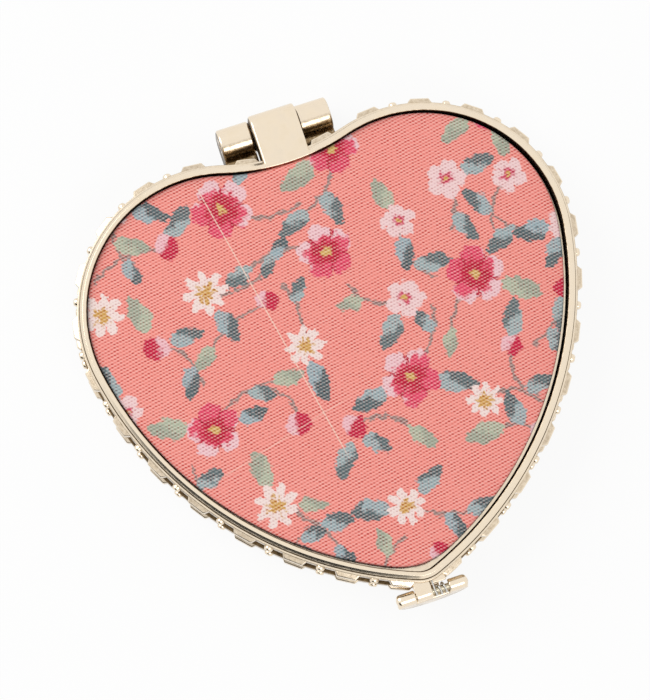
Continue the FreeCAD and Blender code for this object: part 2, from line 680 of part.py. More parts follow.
def make_clasp_spring():
    """Torsion spring: a leg on the stop, the turns round the pin, and a leg into the lever's hole."""
    radius, wire, run = number("spring_radius"), number("spring_wire"), number("spring_run")
    axis = V(number("spring_left"), number("clasp_y"), number("half_thickness + clasp_height"))
    sweep = 2 * math.pi * (SPRING_TURNS + 0.25)
    steps = int(BIARCS_PER_TURN * (SPRING_TURNS + 0.25))

    def on_coil(step):
        angle = math.pi / 2 + sweep * step / steps
        point = axis + V(run * step / steps, radius * math.cos(angle), radius * math.sin(angle))
        way = V(run / sweep, -radius * math.sin(angle), radius * math.cos(angle))
        return point, way.normalize()

    turns = [on_coil(step) for step in range(steps + 1)]
    turns[0] = (turns[0][0], -Y_AXIS)
    turns[-1] = (turns[-1][0], -Z_AXIS)
    first_end = V(turns[0][0].x, number("tip_y - band_step - press_clearance"), turns[0][0].z)
    floor = number("half_thickness + slot_floor")
    last_end = V(turns[-1][0].x, turns[-1][0].y, floor - number("spring_leg_depth"))
    edges = [Part.makeLine(first_end, turns[0][0])]
    for (start, start_way), (end, end_way) in zip(turns, turns[1:]):
        edges.extend(biarc(start, start_way, end, end_way))
    edges.append(Part.makeLine(turns[-1][0], last_end))
    section = Part.Wire(Part.makeCircle(wire / 2, first_end, Y_AXIS))
    path = Part.Wire(edges)
    print_least_gap(edges[1:-1], wire)
    spring = doc.addObject("Part::Feature", "clasp_spring")
    spring.Shape = path.makePipeShell([section], True, False)
    return spring


def print_least_gap(arcs, wire):
    """Print how near the turns come to each other, measured on points half a turn or more apart."""
    points = [point for arc in arcs for point in arc.discretize(SAMPLES_PER_ARC)[:-1]]
    half_turn = BIARCS_PER_TURN * (SAMPLES_PER_ARC - 1)
    gaps = [points[i].distanceToPoint(points[j]) - wire
            for i in range(len(points)) for j in range(i + half_turn, len(points))]
    print(f"clasp_spring: least gap between turns {min(gaps):.3f} mm")


def seat_half(pieces, turned):
    """Move one half's pieces from the half's own frame to their place in the closed mirror."""
    for piece in pieces:
        if turned:
            piece.Placement = FreeCAD.Placement(V(0, 0, 0), FreeCAD.Rotation(Y_AXIS, 180))
        bind(piece, "Placement.Base.z", "half_thickness")


def make_mirror_compact():
    lever = make_clasp_lever()
    lid = [make_lid_frame(), *make_panel("lid"), *make_mirror("lid", magnifies=False), lever]
    base = [make_base_frame(), *make_panel("base"), *make_mirror("base", magnifies=True)]
    seat_half(lid, turned=False)
    seat_half(base, turned=True)
    pins = [
        make_pin("hinge_pin", "hinge_pin_diameter", "hinge_length - 2 * pin_inset", "hinge_y", "0"),
        make_pin("clasp_pin", "clasp_pin_diameter", "lever_width - 2 * pin_inset", "clasp_y", "clasp_height"),
    ]
    return [*lid, *base, *pins, make_clasp_spring()]


def write_parts(pieces):
    """Check every object and every piece, then write each piece to its own file."""
    doc.recompute()
    for item in doc.Objects:
        if {"Invalid", "Error"} & set(item.State):
            raise RuntimeError(f"{item.Name} failed: {item.State}")
    for piece in pieces:
        if piece.Shape.isNull() or not piece.Shape.isValid() or len(piece.Shape.Solids) != 1:
            raise RuntimeError(f"{piece.Label} is not one valid solid")
    os.makedirs("parts", exist_ok=True)
    for piece in pieces:
        piece.Shape.exportStep(f"parts/{piece.Label}.step")
        print(f"{piece.Label}: {piece.Shape.Volume:.2f} mm3")


write_parts(make_mirror_compact())
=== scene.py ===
import math
import random

import bmesh
import bpy
import numpy as np
from mathutils import Matrix, Vector


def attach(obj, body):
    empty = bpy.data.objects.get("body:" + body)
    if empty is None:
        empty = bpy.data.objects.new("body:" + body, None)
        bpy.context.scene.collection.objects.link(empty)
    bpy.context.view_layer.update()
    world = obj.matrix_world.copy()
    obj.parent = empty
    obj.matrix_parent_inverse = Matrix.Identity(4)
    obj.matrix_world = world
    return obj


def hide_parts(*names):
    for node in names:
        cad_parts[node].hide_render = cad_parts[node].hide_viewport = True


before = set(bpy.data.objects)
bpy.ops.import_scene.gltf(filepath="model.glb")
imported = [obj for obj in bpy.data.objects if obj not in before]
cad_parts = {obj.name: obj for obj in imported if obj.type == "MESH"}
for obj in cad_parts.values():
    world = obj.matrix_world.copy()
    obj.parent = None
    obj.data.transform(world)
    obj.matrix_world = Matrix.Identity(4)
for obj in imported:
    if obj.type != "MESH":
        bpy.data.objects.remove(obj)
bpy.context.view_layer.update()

# Heart-shaped folding compact mirror. Sizes are in millimetres, as in the part's own drawing, and
# MM turns them to metres as a mesh is made. A half is drawn with the seam at z = 0 and its outer
# face at HALF_THICKNESS; set_in_half() then lifts it to the lid or turns it over to the base.
MM = 0.001
HALVES = ("lid", "base")

# Heart outline at the lip's outer wall
LOBE_RADIUS, LOBE_X = 19.2, 13.9
SIDE_RADIUS, TIP_RADIUS, CLEFT_RADIUS = 49.5, 4.0, 29.8
TIP_REACH = 41.5
CLEFT_CENTRE_Y = math.sqrt((LOBE_RADIUS + CLEFT_RADIUS) ** 2 - LOBE_X ** 2)

# Cast frames
HALF_THICKNESS, RIM_LEVEL = 4.5, 0.1
LIP_WIDTH, LIP_BEVEL, LEDGE, FLANGE_UNDER, OPENING_INSET, MIRROR_RIM = 0.9, 0.38, 2.5, 2.0, 3.1, 1.5
BAND_STEP, BASE_BAND_STEP, BAND_LEVEL, BAND_HEIGHT = 0.4, 0.58, 1.8, 1.8

# Bars and dots
BEAD_PITCH, BEAD_HINGE_SPACE = 7.1, 5.25
BAR_LENGTH, BAR_HEIGHT, BAR_PROJECTION, BAR_BEVEL, BAR_TAPER = 3.6, 1.6, 0.65, 0.3, 0.55
# The last two values below are the beads' painted shade and how far out from their root it reaches
BAR_RIM, BAR_SIDE_AREA, BEAD_SHADE, ROOT_SHADE_DEPTH = 0.12, 0.5, 0.17, 0.12
DOT_RADIUS, DOT_PROJECTION, DOT_BLUNTNESS, BEAD_ROOT = 0.62, 0.6, 0.5, 0.2

# Hinge and clasp
HINGE_SETBACK, HINGE_LENGTH, STRAP_WIDTH, KNUCKLE_GAP = 4.85, 15.4, 6.3, 0.08
BARREL_RADIUS, HINGE_PIN_RADIUS, KNUCKLE_ROOT = 2.25, 0.6, 0.14
CLASP_SETBACK, CLASP_HEIGHT, CLASP_PIN_RADIUS = 1.7, 2.0, 0.4
LEVER_WIDTH, LEVER_THICKNESS, LEVER_SLOT, EAR_RADIUS = 9.8, 0.75, 4.6, 0.87
LEVER_FLARE, PLATE_LEAN, PLATE_CORNER = 0.64, 0.25, 0.4
LUG_LEFT, LUG_WIDTH, LUG_RADIUS = -2.2, 2.2, 0.85
CLASP_GAP, CATCH_WIDTH, CATCH_HEIGHT, CATCH_DROP = 0.3, 2.8, 1.2, 0.1
HOOK_WIDTH, HOOK_HEIGHT, HOOK_GRIP = 2.4, 0.7, 0.45
SPRING_RADIUS, SPRING_WIRE, SPRING_SIDE_GAP = 0.68, 0.26, 0.1
RUNNING_CLEARANCE, PRESS_CLEARANCE = 0.04, 0.01

# Padded panels and mirrors
PANEL_INSET, PANEL_TIP_RADIUS, PANEL_SHIFT = 1.2, 9.6, (-0.2, 0.2)
BOARD_BOTTOM, BOARD_TOP, CROWN_TOP, CROWN_RISE = 2.6, 3.0, 4.4, 0.5
FABRIC_THICKNESS, FABRIC_ROUND, PANEL_AROUND = 0.3, 0.28, 168
STRAP_LIFT, STRAP_PULL, STRAP_REACH = 0.55, 0.1, 4.5
# How far from the middle the recess wall's painted shade is taken away beside the hinge strap, and how much
# of it
UNSHADED_REACH, UNSHADED_SHARE = 3.9, 0.9
MIRROR_INSET, MIRROR_FRONT, MIRROR_BACK, MIRROR_GROUND, MIRROR_AROUND = 1.65, 0.5, 1.8, 0.2, 240
MAGNIFIER_RADIUS, MAGNIFIER_SAG = 1200.0, 0.4


def side_centre():
    """Centre of the right side's arc. The right lobe's circle and the point's touch it from within."""
    to_lobe, to_tip = SIDE_RADIUS - LOBE_RADIUS, SIDE_RADIUS - TIP_RADIUS
    tip_y = TIP_RADIUS - TIP_REACH
    apart = math.hypot(LOBE_X, tip_y)
    along = (to_lobe ** 2 - to_tip ** 2 + apart ** 2) / (2 * apart)
    off = math.sqrt(to_lobe ** 2 - along ** 2)
    right, up = -LOBE_X / apart, tip_y / apart
    return LOBE_X + right * along + up * off, up * along - right * off


SIDE_X, SIDE_Y = side_centre()
BACK_REACH = CLEFT_CENTRE_Y - CLEFT_RADIUS + HINGE_SETBACK + BARREL_RADIUS
FRONT_REACH = TIP_REACH + CLASP_SETBACK + EAR_RADIUS + LEVER_FLARE
HEART_Y = (FRONT_REACH - BACK_REACH) / 2
WALL_Y = HEART_Y + CLEFT_CENTRE_Y - CLEFT_RADIUS
TIP_Y = HEART_Y - TIP_REACH
HINGE_Y = WALL_Y + HINGE_SETBACK
CLASP_Y = TIP_Y - CLASP_SETBACK
PLATE_FRONT = CLASP_Y - EAR_RADIUS
PLATE_BACK = PLATE_FRONT + LEVER_THICKNESS
CATCH_Y = PLATE_BACK + CLASP_GAP
CATCH_TOP = RIM_LEVEL + CATCH_DROP
HOOK_TOP = -CATCH_TOP - CATCH_HEIGHT - CLASP_GAP


def srgb(red, green, blue):
    """A colour as seen on a screen, 0 to 255, as the linear colour that a shader takes."""
    levels = [level / 255 for level in (red, green, blue)]
    return (*[v / 12.92 if v <= 0.04045 else ((v + 0.055) / 1.055) ** 2.4 for v in levels], 1.0)


# Heart outline

def heart_arcs(grow=0.0, tip=None):
    """Arcs from the point round anticlockwise: (centre, radius, first angle, last angle, outward sign)."""
    tip = TIP_RADIUS + grow if tip is None else tip
    side, lobe, cleft = SIDE_RADIUS + grow, LOBE_RADIUS + grow, CLEFT_RADIUS - grow
    tip_y = SIDE_Y - math.sqrt((side - tip) ** 2 - SIDE_X ** 2)
    lobe_cleft = math.atan2(CLEFT_CENTRE_Y, -LOBE_X)
    lobe_side = math.atan2(-SIDE_Y, LOBE_X - SIDE_X)
    side_tip = math.atan2(tip_y - SIDE_Y, -SIDE_X)
    right = [
        ((0, tip_y), tip, -math.pi / 2, side_tip, 1),
        ((SIDE_X, SIDE_Y), side, side_tip, lobe_side, 1),
        ((LOBE_X, 0), lobe, lobe_side, lobe_cleft, 1),
        ((0, CLEFT_CENTRE_Y), cleft, lobe_cleft - math.pi, -math.pi / 2, -1),
    ]
    left = [((-x, y), r, -math.pi - b, -math.pi - a, s) for (x, y), r, a, b, s in reversed(right)]
    return right + left


class HeartPath:
    """Points spread round the heart, each of which can be moved in or out along its normal."""

    def __init__(self, count, grow=0.0, tip=None, shift=(0.0, 0.0)):
        arcs = heart_arcs(grow, tip)
        lengths = [radius * abs(last - first) for _, radius, first, last, _ in arcs]
        ends = np.cumsum(lengths)
        self.length = ends[-1]
        self.along = np.arange(count) * self.length / count
        which = np.searchsorted(ends, self.along, side="right")
        share = (self.along - (ends - lengths)[which]) / np.array(lengths)[which]
        first, last = (np.array([arc[k] for arc in arcs])[which] for k in (2, 3))
        angle = first + (last - first) * share
        self.ray = np.stack([np.cos(angle), np.sin(angle)], axis=1)
        self.centre = np.array([arc[0] for arc in arcs])[which] + np.array(shift) + (0, HEART_Y)
        self.radius = np.array([arc[1] for arc in arcs])[which]
        self.sign = np.array([arc[4] for arc in arcs])[which]

    def points(self, grow=0.0):
        return self.centre + self.ray * (self.radius + self.sign * grow)[:, None]


def set_in_half(points, half):
    """Half's own millimetres to metres in the closed mirror."""
    points = np.array(points, dtype=float)
    turn = (1, 1, 1) if half == "lid" else (-1, 1, -1)
    return (points * turn + (0, 0, HALF_THICKNESS)) * MM


# Meshes

def loop_quads(loops):
    """Corners of each face between closed loops of as many corners."""
    for lower, upper in zip(loops, loops[1:]):
        for i in range(len(lower)):
            j = (i + 1) % len(lower)
            yield lower[i], lower[j], upper[j], upper[i]


def store_shade_layer(mesh, values):
    layer = mesh.attributes.new("patina", "FLOAT", "POINT")
    layer.data.foreach_set("value", np.asarray(values, dtype=np.float32))


def new_piece(name, vertices, faces, material, patina=None, smooth=True):
    mesh = bpy.data.meshes.new(name)
    mesh.from_pydata([tuple(v) for v in vertices], [], [tuple(f) for f in faces])
    if patina is not None:
        store_shade_layer(mesh, patina)
    return finish_piece(name, mesh, material, smooth)


def finish_piece(name, mesh, material, smooth=True):
    made = bmesh.new()
    made.from_mesh(mesh)
    bmesh.ops.recalc_face_normals(made, faces=made.faces)
    made.to_mesh(mesh)
    made.free()
    mesh.polygons.foreach_set("use_smooth", [smooth] * len(mesh.polygons))
    mesh.materials.clear()
    mesh.materials.append(material)
    piece = bpy.data.objects.new(name, mesh)
    bpy.context.scene.collection.objects.link(piece)
    return piece


def even_shading(piece):
    """Let the large faces set the normals, so that flats look flat beside their rounded edges."""
    weighted = piece.modifiers.new("even shading", "WEIGHTED_NORMAL")
    weighted.weight = 90
    weighted.keep_sharp = True


def settle(piece):
    """Replace a piece's mesh by what its modifiers make of it."""
    bpy.context.view_layer.update()
    seen = piece.evaluated_get(bpy.context.evaluated_depsgraph_get())
    settled = bpy.data.meshes.new_from_object(seen)
    old = piece.data
    piece.modifiers.clear()
    piece.data = settled
    bpy.data.meshes.remove(old)
    settled.name = piece.name


def seat(piece, body, slot_name, *nodes):
    """Let a piece ride on its body and stand for its CAD nodes."""
    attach(piece, body)
    if nodes:
        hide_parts(*nodes)


def rounded_profile(corners, steps=4):
    """Corners are (across, up, rounding, painted shade of the side that follows). Returns (across, up,
    painted shade).
    """
    made = []
    for index, (across, up, radius, shade_level) in enumerate(corners):
        here = Vector((across, up))
        before, after = corners[index - 1], corners[(index + 1) % len(corners)]
        if radius == 0:
            if before[3] != shade_level:
                made.append((across, up, before[3]))
            made.append((across, up, shade_level))
            continue
        to_before = (Vector(before[:2]) - here).normalized()
        to_after = (Vector(after[:2]) - here).normalized()
        half = to_before.angle(to_after) / 2
        first = here + to_before * radius / math.tan(half)
        last = here + to_after * radius / math.tan(half)
        middle = here + (to_before + to_after).normalized() * radius / math.sin(half)
        for step in range(steps + 1):
            share = step / steps
            out = (first - middle).lerp(last - middle, share).normalized() * radius
            made.append((*(middle + out), before[3] + (shade_level - before[3]) * share))
    return made


def sweep_ring(name, profile, half, material, count=640):
    """Carry a closed profile of (outward, up, painted shade) round the heart."""
    path = HeartPath(count)
    size = len(profile)
    vertices = np.zeros((count, size, 3))
    for index, (grow, up, _) in enumerate(profile):
        vertices[:, index, :2] = path.points(grow)
        vertices[:, index, 2] = up
    loops = [range(i * size, (i + 1) * size) for i in range(count)]
    faces = loop_quads([*loops, loops[0]])
    patina = np.tile([shade_level for _, _, shade_level in profile], count)
    # The cloth hides the recess wall beside the hinge strap, and there most of the wall's painted shade is
    # taken away
    unshaded = np.exp(-(vertices[:, :, 0] / UNSHADED_REACH) ** 6) * (vertices[:, :, 1] > 0)
    patina = patina * (1 - UNSHADED_SHARE * unshaded.ravel())
    return new_piece(name, set_in_half(vertices.reshape(-1, 3), half), faces, material, patina)


def prism(name, outline, left, right, half, material, bevel,
          axis="x", end_shade=0.0, root=None, side_shade=None):
    """A bevelled bar along X, or along Y, from an outline of (y, z) or (x, z).

    Its two end faces, and its sides by place, take the painted shade given for them. Edges
    that lie before root, where the bar grows out of another form, stay sharp.
    """
    made = bmesh.new()
    lay = (lambda a, b, c: (c, a, b)) if axis == "x" else (lambda a, b, c: (a, c, b))
    ends = []
    for level in (left, right):
        corners = [made.verts.new(lay(a, b, level)) for a, b in outline]
        ends.append(corners)
    for corners in (*ends, *loop_quads(ends)):
        made.faces.new(corners)
    bmesh.ops.recalc_face_normals(made, faces=made.faces)
    sharp = [e for e in made.edges if e.calc_face_angle(0) > math.radians(25)]
    if root is not None:
        sharp = [e for e in sharp if max(vert.co.y for vert in e.verts) > root]
    rounding = {"segments": 3, "profile": 0.5, "affect": "EDGES", "clamp_overlap": True}
    bmesh.ops.bevel(made, geom=sharp, offset=bevel, **rounding)
    bmesh.ops.triangulate(made, faces=[f for f in made.faces if len(f.verts) > 4])
    mesh = bpy.data.meshes.new(name)
    across = 0 if axis == "x" else 1
    at_end = [min(abs(vert.co[across] - end) for end in (left, right)) < 1e-5 for vert in made.verts]
    on_side = [side_shade(vert.co) if side_shade else 0.0 for vert in made.verts]
    shade_values = [end_shade if end else side for end, side in zip(at_end, on_side)]
    for vert in made.verts:
        vert.co = set_in_half([vert.co], half)[0]
    made.to_mesh(mesh)
    made.free()
    store_shade_layer(mesh, shade_values)
    piece = finish_piece(name, mesh, material)
    even_shading(piece)
    return piece


def join(name, pieces):
    """Make several settled pieces one."""
    for piece in pieces:
        settle(piece)
    with bpy.context.temp_override(active_object=pieces[0], selected_editable_objects=pieces):
        bpy.ops.object.join()
    pieces[0].name = pieces[0].data.name = name
    return pieces[0]


def arc_points(centre, radius, first, last, steps):
    """Points on an arc, in degrees."""
    angles = [math.radians(first + (last - first) * i / steps) for i in range(steps + 1)]
    return [(centre[0] + radius * math.cos(a), centre[1] + radius * math.sin(a)) for a in angles]


def cut_hole(piece, centre, radius, half, length=60.0):
    """Bore a piece along X at (y, z)."""
    made = bmesh.new()
    turn = Matrix.Rotation(math.pi / 2, 4, "Y")
    round_bar = {"radius1": radius, "radius2": radius, "depth": length, "segments": 48}
    bmesh.ops.create_cone(made, cap_ends=True, matrix=turn, **round_bar)
    for vert in made.verts:
        vert.co = set_in_half([vert.co + Vector((0, *centre))], half)[0]
    drill_mesh = bpy.data.meshes.new("drill")
    made.to_mesh(drill_mesh)
    made.free()
    drill = bpy.data.objects.new("drill", drill_mesh)
    bpy.context.scene.collection.objects.link(drill)
    settle(piece)
    bore = piece.modifiers.new("bore", "BOOLEAN")
    bore.operation, bore.object, bore.solver = "DIFFERENCE", drill, "EXACT"
    settle(piece)
    bpy.data.objects.remove(drill)
    bpy.data.meshes.remove(drill_mesh)


# Materials

class Finish:
    """A procedural material under construction, with short ways to add its nodes."""

    def __init__(self, name):
        self.material = bpy.data.materials.new(name)
        self.material.use_nodes = True
        self.tree = self.material.node_tree
        self.surface = self.tree.nodes["Principled BSDF"]

    def node(self, kind, values=None, **settings):
        made = self.tree.nodes.new(kind)
        for key, value in settings.items():
            setattr(made, key, value)
        for key, value in (values or {}).items():
            self.feed(made.inputs[key], value)
        return made

    def feed(self, socket, value):
        if isinstance(value, bpy.types.NodeSocket):
            self.tree.links.new(value, socket)
        else:
            socket.default_value = value

    def set(self, **values):
        for key, value in values.items():
            self.feed(self.surface.inputs[key.replace("_", " ")], value)

    def math(self, operation, first, second=0.0, third=0.0, clamp=False):
        made = self.node("ShaderNodeMath", operation=operation, use_clamp=clamp)
        for socket, value in zip(made.inputs, (first, second, third)):
            self.feed(socket, value)
        return made.outputs[0]

    def plus(self, first, second):
        return self.math("ADD", first, second)

    def minus(self, first, second, clamp=False):
        return self.math("SUBTRACT", first, second, clamp=clamp)

    def times(self, first, second, clamp=False):
        return self.math("MULTIPLY", first, second, clamp=clamp)

    def size(self, value):
        return self.math("ABSOLUTE", value)

    def vector(self, operation, *values):
        """Result of a vector node: a number for a dot product, else a vector."""
        made = self.node("ShaderNodeVectorMath", dict(enumerate(values)), operation=operation)
        return made.outputs["Value" if operation == "DOT_PRODUCT" else "Vector"]

    def below(self, value, limit, softness):
        """1 where value is under limit, fading to 0 over softness."""
        over = self.math("SUBTRACT", limit, value)
        return self.math("MULTIPLY_ADD", over, 1 / softness, 0.5, clamp=True)

    def mix(self, factor, first, second, blend="MIX"):
        made = self.node("ShaderNodeMix", data_type="RGBA", blend_type=blend)
        for socket, value in zip((made.inputs[0], made.inputs[6], made.inputs[7]), (factor, first, second)):
            self.feed(socket, value)
        return made.outputs[2]

    def place(self, scale=(1000.0, 1000.0, 1000.0)):
        """Object coordinates in millimetres, stretched by scale."""
        where = self.node("ShaderNodeTexCoord").outputs["Object"]
        return self.vector("MULTIPLY", where, scale)

    def noise(self, scale, detail=3.0, where=None, roughness=0.5):
        where = self.place() if where is None else where
        values = {"Vector": where, "Scale": scale, "Detail": detail, "Roughness": roughness}
        return self.node("ShaderNodeTexNoise", values).outputs["Fac"]

    def split(self, vector):
        return self.node("ShaderNodeSeparateXYZ", {0: vector}).outputs

    def stored(self, name):
        return self.node("ShaderNodeAttribute", attribute_name=name).outputs

    def spread(self, value, low, high):
        """Stretch a 0 to 1 value to a range."""
        return self.math("MULTIPLY_ADD", value, high - low, low)

    def bump(self, height, strength, distance):
        values = {"Height": height, "Strength": strength, "Distance": distance}
        self.set(Normal=self.node("ShaderNodeBump", values).outputs[0])


def champagne_plating():
    """Pale gold plating on a casting: slightly uneven, with painted shade and painted dark reflection where
    the stored attribute marks them.

    Where that painted shade is neither full nor absent it breaks up into specks.
    """
    finish = Finish("champagne plating")
    cloud = finish.noise(0.55, 2.0)
    grain = finish.noise(7.0, 4.0)
    pits = finish.noise(2.4, 3.0)
    patina = finish.stored("patina")["Fac"]
    # Painted shade and dark reflection, broken into specks at middling values: by the stored value, gold
    # turns bronze and then almost black
    broken = finish.times(patina, finish.minus(1.0, patina))
    specks = finish.times(broken, finish.spread(pits, -1.8, 1.8))
    shade_level = finish.plus(patina, finish.spread(cloud, -0.08, 0.08))
    shade_level = finish.math("ADD", shade_level, specks, clamp=True)
    gold = finish.mix(cloud, srgb(236, 218, 190), srgb(246, 232, 212))
    half_shaded = finish.mix(finish.times(shade_level, 2.0, clamp=True), gold, srgb(146, 122, 88))
    deep_shade = finish.math("MULTIPLY_ADD", shade_level, 2.0, -1.0, clamp=True)
    finish.set(Base_Color=finish.mix(deep_shade, half_shaded, srgb(36, 27, 20)))
    shine = finish.math("MULTIPLY_ADD", shade_level, 0.25, finish.spread(grain, 0.1, 0.22))
    finish.set(Roughness=shine, Metallic=1.0)
    ripple = finish.math("MULTIPLY_ADD", grain, 0.15, cloud)
    ripple = finish.plus(ripple, finish.times(broken, finish.times(pits, 1.6)))
    finish.bump(ripple, 0.35, 0.00006)
    return finish.material


def steel(name, colour, rough):
    """Drawn wire, with fine scratches along X."""
    finish = Finish(name)
    scratches = finish.noise(1.0, 4.0, finish.place((300.0, 14000.0, 14000.0)))
    darker = tuple(0.7 * level for level in colour[:3]) + (1.0,)
    finish.set(Base_Color=finish.mix(scratches, darker, colour), Metallic=1.0)
    finish.set(Roughness=finish.spread(scratches, rough, rough + 0.2))
    finish.bump(scratches, 0.15, 0.00002)
    return finish.material


def silvered_glass():
    """Mirror, with the faintest haze of handling."""
    finish = Finish("silvered glass")
    haze = finish.noise(0.12, 3.0)
    finish.set(Base_Color=finish.mix(haze, srgb(228, 232, 232), srgb(238, 240, 239)), Metallic=1.0)
    finish.set(Roughness=finish.spread(haze, 0.015, 0.05))
    return finish.material


def grey_board():
    finish = Finish("grey board")
    fibres = finish.noise(1.0, 5.0, finish.place((900.0, 2600.0, 1400.0)))
    finish.set(Base_Color=finish.mix(fibres, srgb(168, 154, 136), srgb(206, 196, 180)), Roughness=0.9)
    finish.bump(fibres, 0.3, 0.00004)
    return finish.material


def adhesive_tape():
    finish = Finish("adhesive tape")
    mottle = finish.noise(1.8, 3.0)
    finish.set(Base_Color=finish.mix(mottle, srgb(214, 210, 200), srgb(236, 233, 226)))
    finish.set(Roughness=finish.spread(mottle, 0.4, 0.6))
    return finish.material


# Printed cotton. Pitch in millimetres and slant in degrees of the two sets of rows of floats
FLOAT_ROWS, FLOAT_STEPS = (0.424, 99.5), (0.378, 38.5)
# Pulled threads run from x, y to x, y in millimetres. The last value is how far each stands out
PULLED_THREADS = ((-12.6, 27.0, -5.0, -12.5, 0.8), (-21.4, -10.7, -3.2, -6.0, 0.4))
THREAD_HALF_WIDTH, THREAD_FADE, THREAD_CREAM = 0.08, 2.0, srgb(255, 224, 205)
CORAL, LIGHT_CORAL = srgb(254, 152, 141), srgb(255, 161, 150)
PIT_ROSE, CREST_CREAM = srgb(196, 112, 108), srgb(255, 226, 216)
STEM_BROWN, STEM_HALF_WIDTH = srgb(166, 142, 136), 0.24
LEAF_BLUE, LEAF_GREEN, LEAF_SHADE = srgb(160, 184, 192), srgb(186, 196, 172), srgb(78, 98, 102)
MOTIF_SOFTNESS = 0.18
BLOSSOM, DAISY, PALE, BUD = range(4)


def float_rows(finish, where):
    """Place across each of the two sets of slanting rows that the floats of the weave lie in.

    Threads wander a little from their places.
    """
    wander = finish.spread(finish.noise(0.8, 2.0, where), -0.3, 0.3)
    rows = []
    for pitch, slant in (FLOAT_ROWS, FLOAT_STEPS):
        way = math.cos(math.radians(slant)) / pitch, math.sin(math.radians(slant)) / pitch, 0.0
        rows.append(finish.plus(finish.vector("DOT_PRODUCT", where, way), wander))
    return rows


def uneven_edges(finish, where, chance):
    """How far a print is shifted at each place, by its threads and by the brush that drew it."""
    middle = (0.5, 0.5, 0.5)
    by_thread = finish.vector("MULTIPLY", finish.vector("SUBTRACT", chance, middle), (0.3, 0.3, 0.0))
    sway = finish.node("ShaderNodeTexNoise", {"Vector": where, "Scale": 0.85, "Detail": 2.0}).outputs["Color"]
    return finish.vector("MULTIPLY_ADD", finish.vector("SUBTRACT", sway, middle), (1.3, 1.3, 0.0), by_thread)


def motif_place(finish, layer, shift):
    return finish.split(finish.vector("ADD", finish.stored(layer)["Vector"], shift))


def print_stems(finish, colour, shift):
    """Stems are bowed lines: along and off a chord, and the chord's length."""
    along, off, length = motif_place(finish, "stem", shift)
    share = finish.math("DIVIDE", along, length)
    bow = finish.times(finish.times(share, finish.minus(1.0, share)), 4.0)
    line = finish.times(bow, finish.stored("stem_bow")["Fac"])
    on_stem = finish.below(finish.size(finish.minus(off, line)), STEM_HALF_WIDTH, 0.2)
    inside = finish.below(finish.size(finish.minus(share, 0.5)), 0.5, 0.02)
    return finish.mix(finish.times(on_stem, inside), colour, STEM_BROWN)


def print_leaves(finish, colour, shift, brush):
    """Leaves: along, across, length, and a tone from blue to green."""
    along, across, length = motif_place(finish, "leaf", shift)
    share = finish.math("DIVIDE", finish.times(along, 2.0), length)
    bulge = finish.math("POWER", finish.minus(1.0, finish.times(share, share), clamp=True), 0.72)
    width = finish.times(finish.times(bulge, length), finish.spread(share, 0.24, 0.18))
    on_leaf = finish.below(finish.size(across), width, MOTIF_SOFTNESS)
    on_leaf = finish.times(on_leaf, finish.below(finish.size(share), 0.97, 0.04))
    tone = finish.stored("leaf_tone")["Fac"]
    blade = finish.mix(tone, LEAF_BLUE, LEAF_GREEN)
    vein = finish.plus(share, finish.math("MULTIPLY_ADD", brush, 1.6, -0.62))
    vein = finish.plus(vein, finish.times(across, 0.55))
    shadow = finish.times(finish.below(0.1, vein, 0.35), finish.spread(tone, 0.92, 0.25))
    return finish.mix(on_leaf, colour, finish.mix(shadow, blade, LEAF_SHADE))


def flower_edge(finish, angle, lobe, is_daisy, is_bud):
    """Reach of a flower's edge at an angle, as a share of its radius."""
    round_petal = finish.spread(finish.math("POWER", lobe, 0.45), 0.62, 1.0)
    pointed_petal = finish.spread(lobe, 0.5, 1.0)
    half_turn = finish.size(finish.math("COSINE", finish.times(angle, 0.5)))
    tapered_bud = finish.spread(finish.math("POWER", half_turn, 1.5), 0.42, 1.0)
    edge = finish.plus(round_petal, finish.times(is_daisy, finish.minus(pointed_petal, round_petal)))
    return finish.plus(edge, finish.times(is_bud, finish.minus(tapered_bud, edge)))


def print_flowers(finish, colour, shift, brush):
    """Flowers: across, up, radius, with the number of petals and the kind."""
    across, up, radius = motif_place(finish, "flower", shift)
    petals, kind = finish.stored("petals")["Fac"], finish.stored("flower_kind")["Fac"]
    reach = finish.math("SQRT", finish.plus(finish.times(across, across), finish.times(up, up)))
    angle = finish.math("ARCTAN2", up, across)
    lobe = finish.size(finish.math("COSINE", finish.times(finish.times(petals, 0.5), angle)))
    is_daisy, is_pale, is_bud = (finish.math("COMPARE", kind, which, 0.3) for which in (DAISY, PALE, BUD))
    edge = finish.times(flower_edge(finish, angle, lobe, is_daisy, is_bud), radius)
    on_flower = finish.below(reach, edge, MOTIF_SOFTNESS)
    depth = finish.math("DIVIDE", reach, edge)
    streak = finish.plus(depth, finish.math("MULTIPLY_ADD", brush, 0.9, -0.45))
    lit_side = finish.math("DIVIDE", up, radius)
    tip_light = finish.plus(streak, finish.times(lit_side, 0.42))

    blossom = finish.mix(finish.below(0.5, streak, 0.2), srgb(206, 24, 64), srgb(240, 84, 116))
    blossom = finish.mix(finish.below(0.86, tip_light, 0.18), blossom, srgb(248, 206, 212))
    blossom = finish.mix(finish.below(lobe, 0.22, 0.15), blossom, srgb(200, 26, 66))
    blossom = finish.mix(finish.below(depth, 0.17, 0.08), blossom, srgb(226, 190, 112))
    daisy = finish.mix(finish.below(streak, 0.42, 0.16), srgb(252, 232, 226), srgb(222, 176, 98))
    pale = finish.mix(finish.below(streak, 0.35, 0.2), srgb(250, 216, 216), srgb(222, 80, 112))
    pale = finish.mix(finish.below(depth, 0.16, 0.08), pale, srgb(222, 180, 96))
    bud_light = finish.plus(lit_side, finish.math("MULTIPLY_ADD", brush, 0.8, -0.4))
    bud = finish.mix(finish.below(0.15, bud_light, 0.25), srgb(214, 34, 76), srgb(248, 196, 204))
    bloom = blossom
    for is_kind, look in ((is_daisy, daisy), (is_pale, pale), (is_bud, bud)):
        bloom = finish.mix(is_kind, bloom, look)
    return finish.mix(on_flower, colour, bloom)


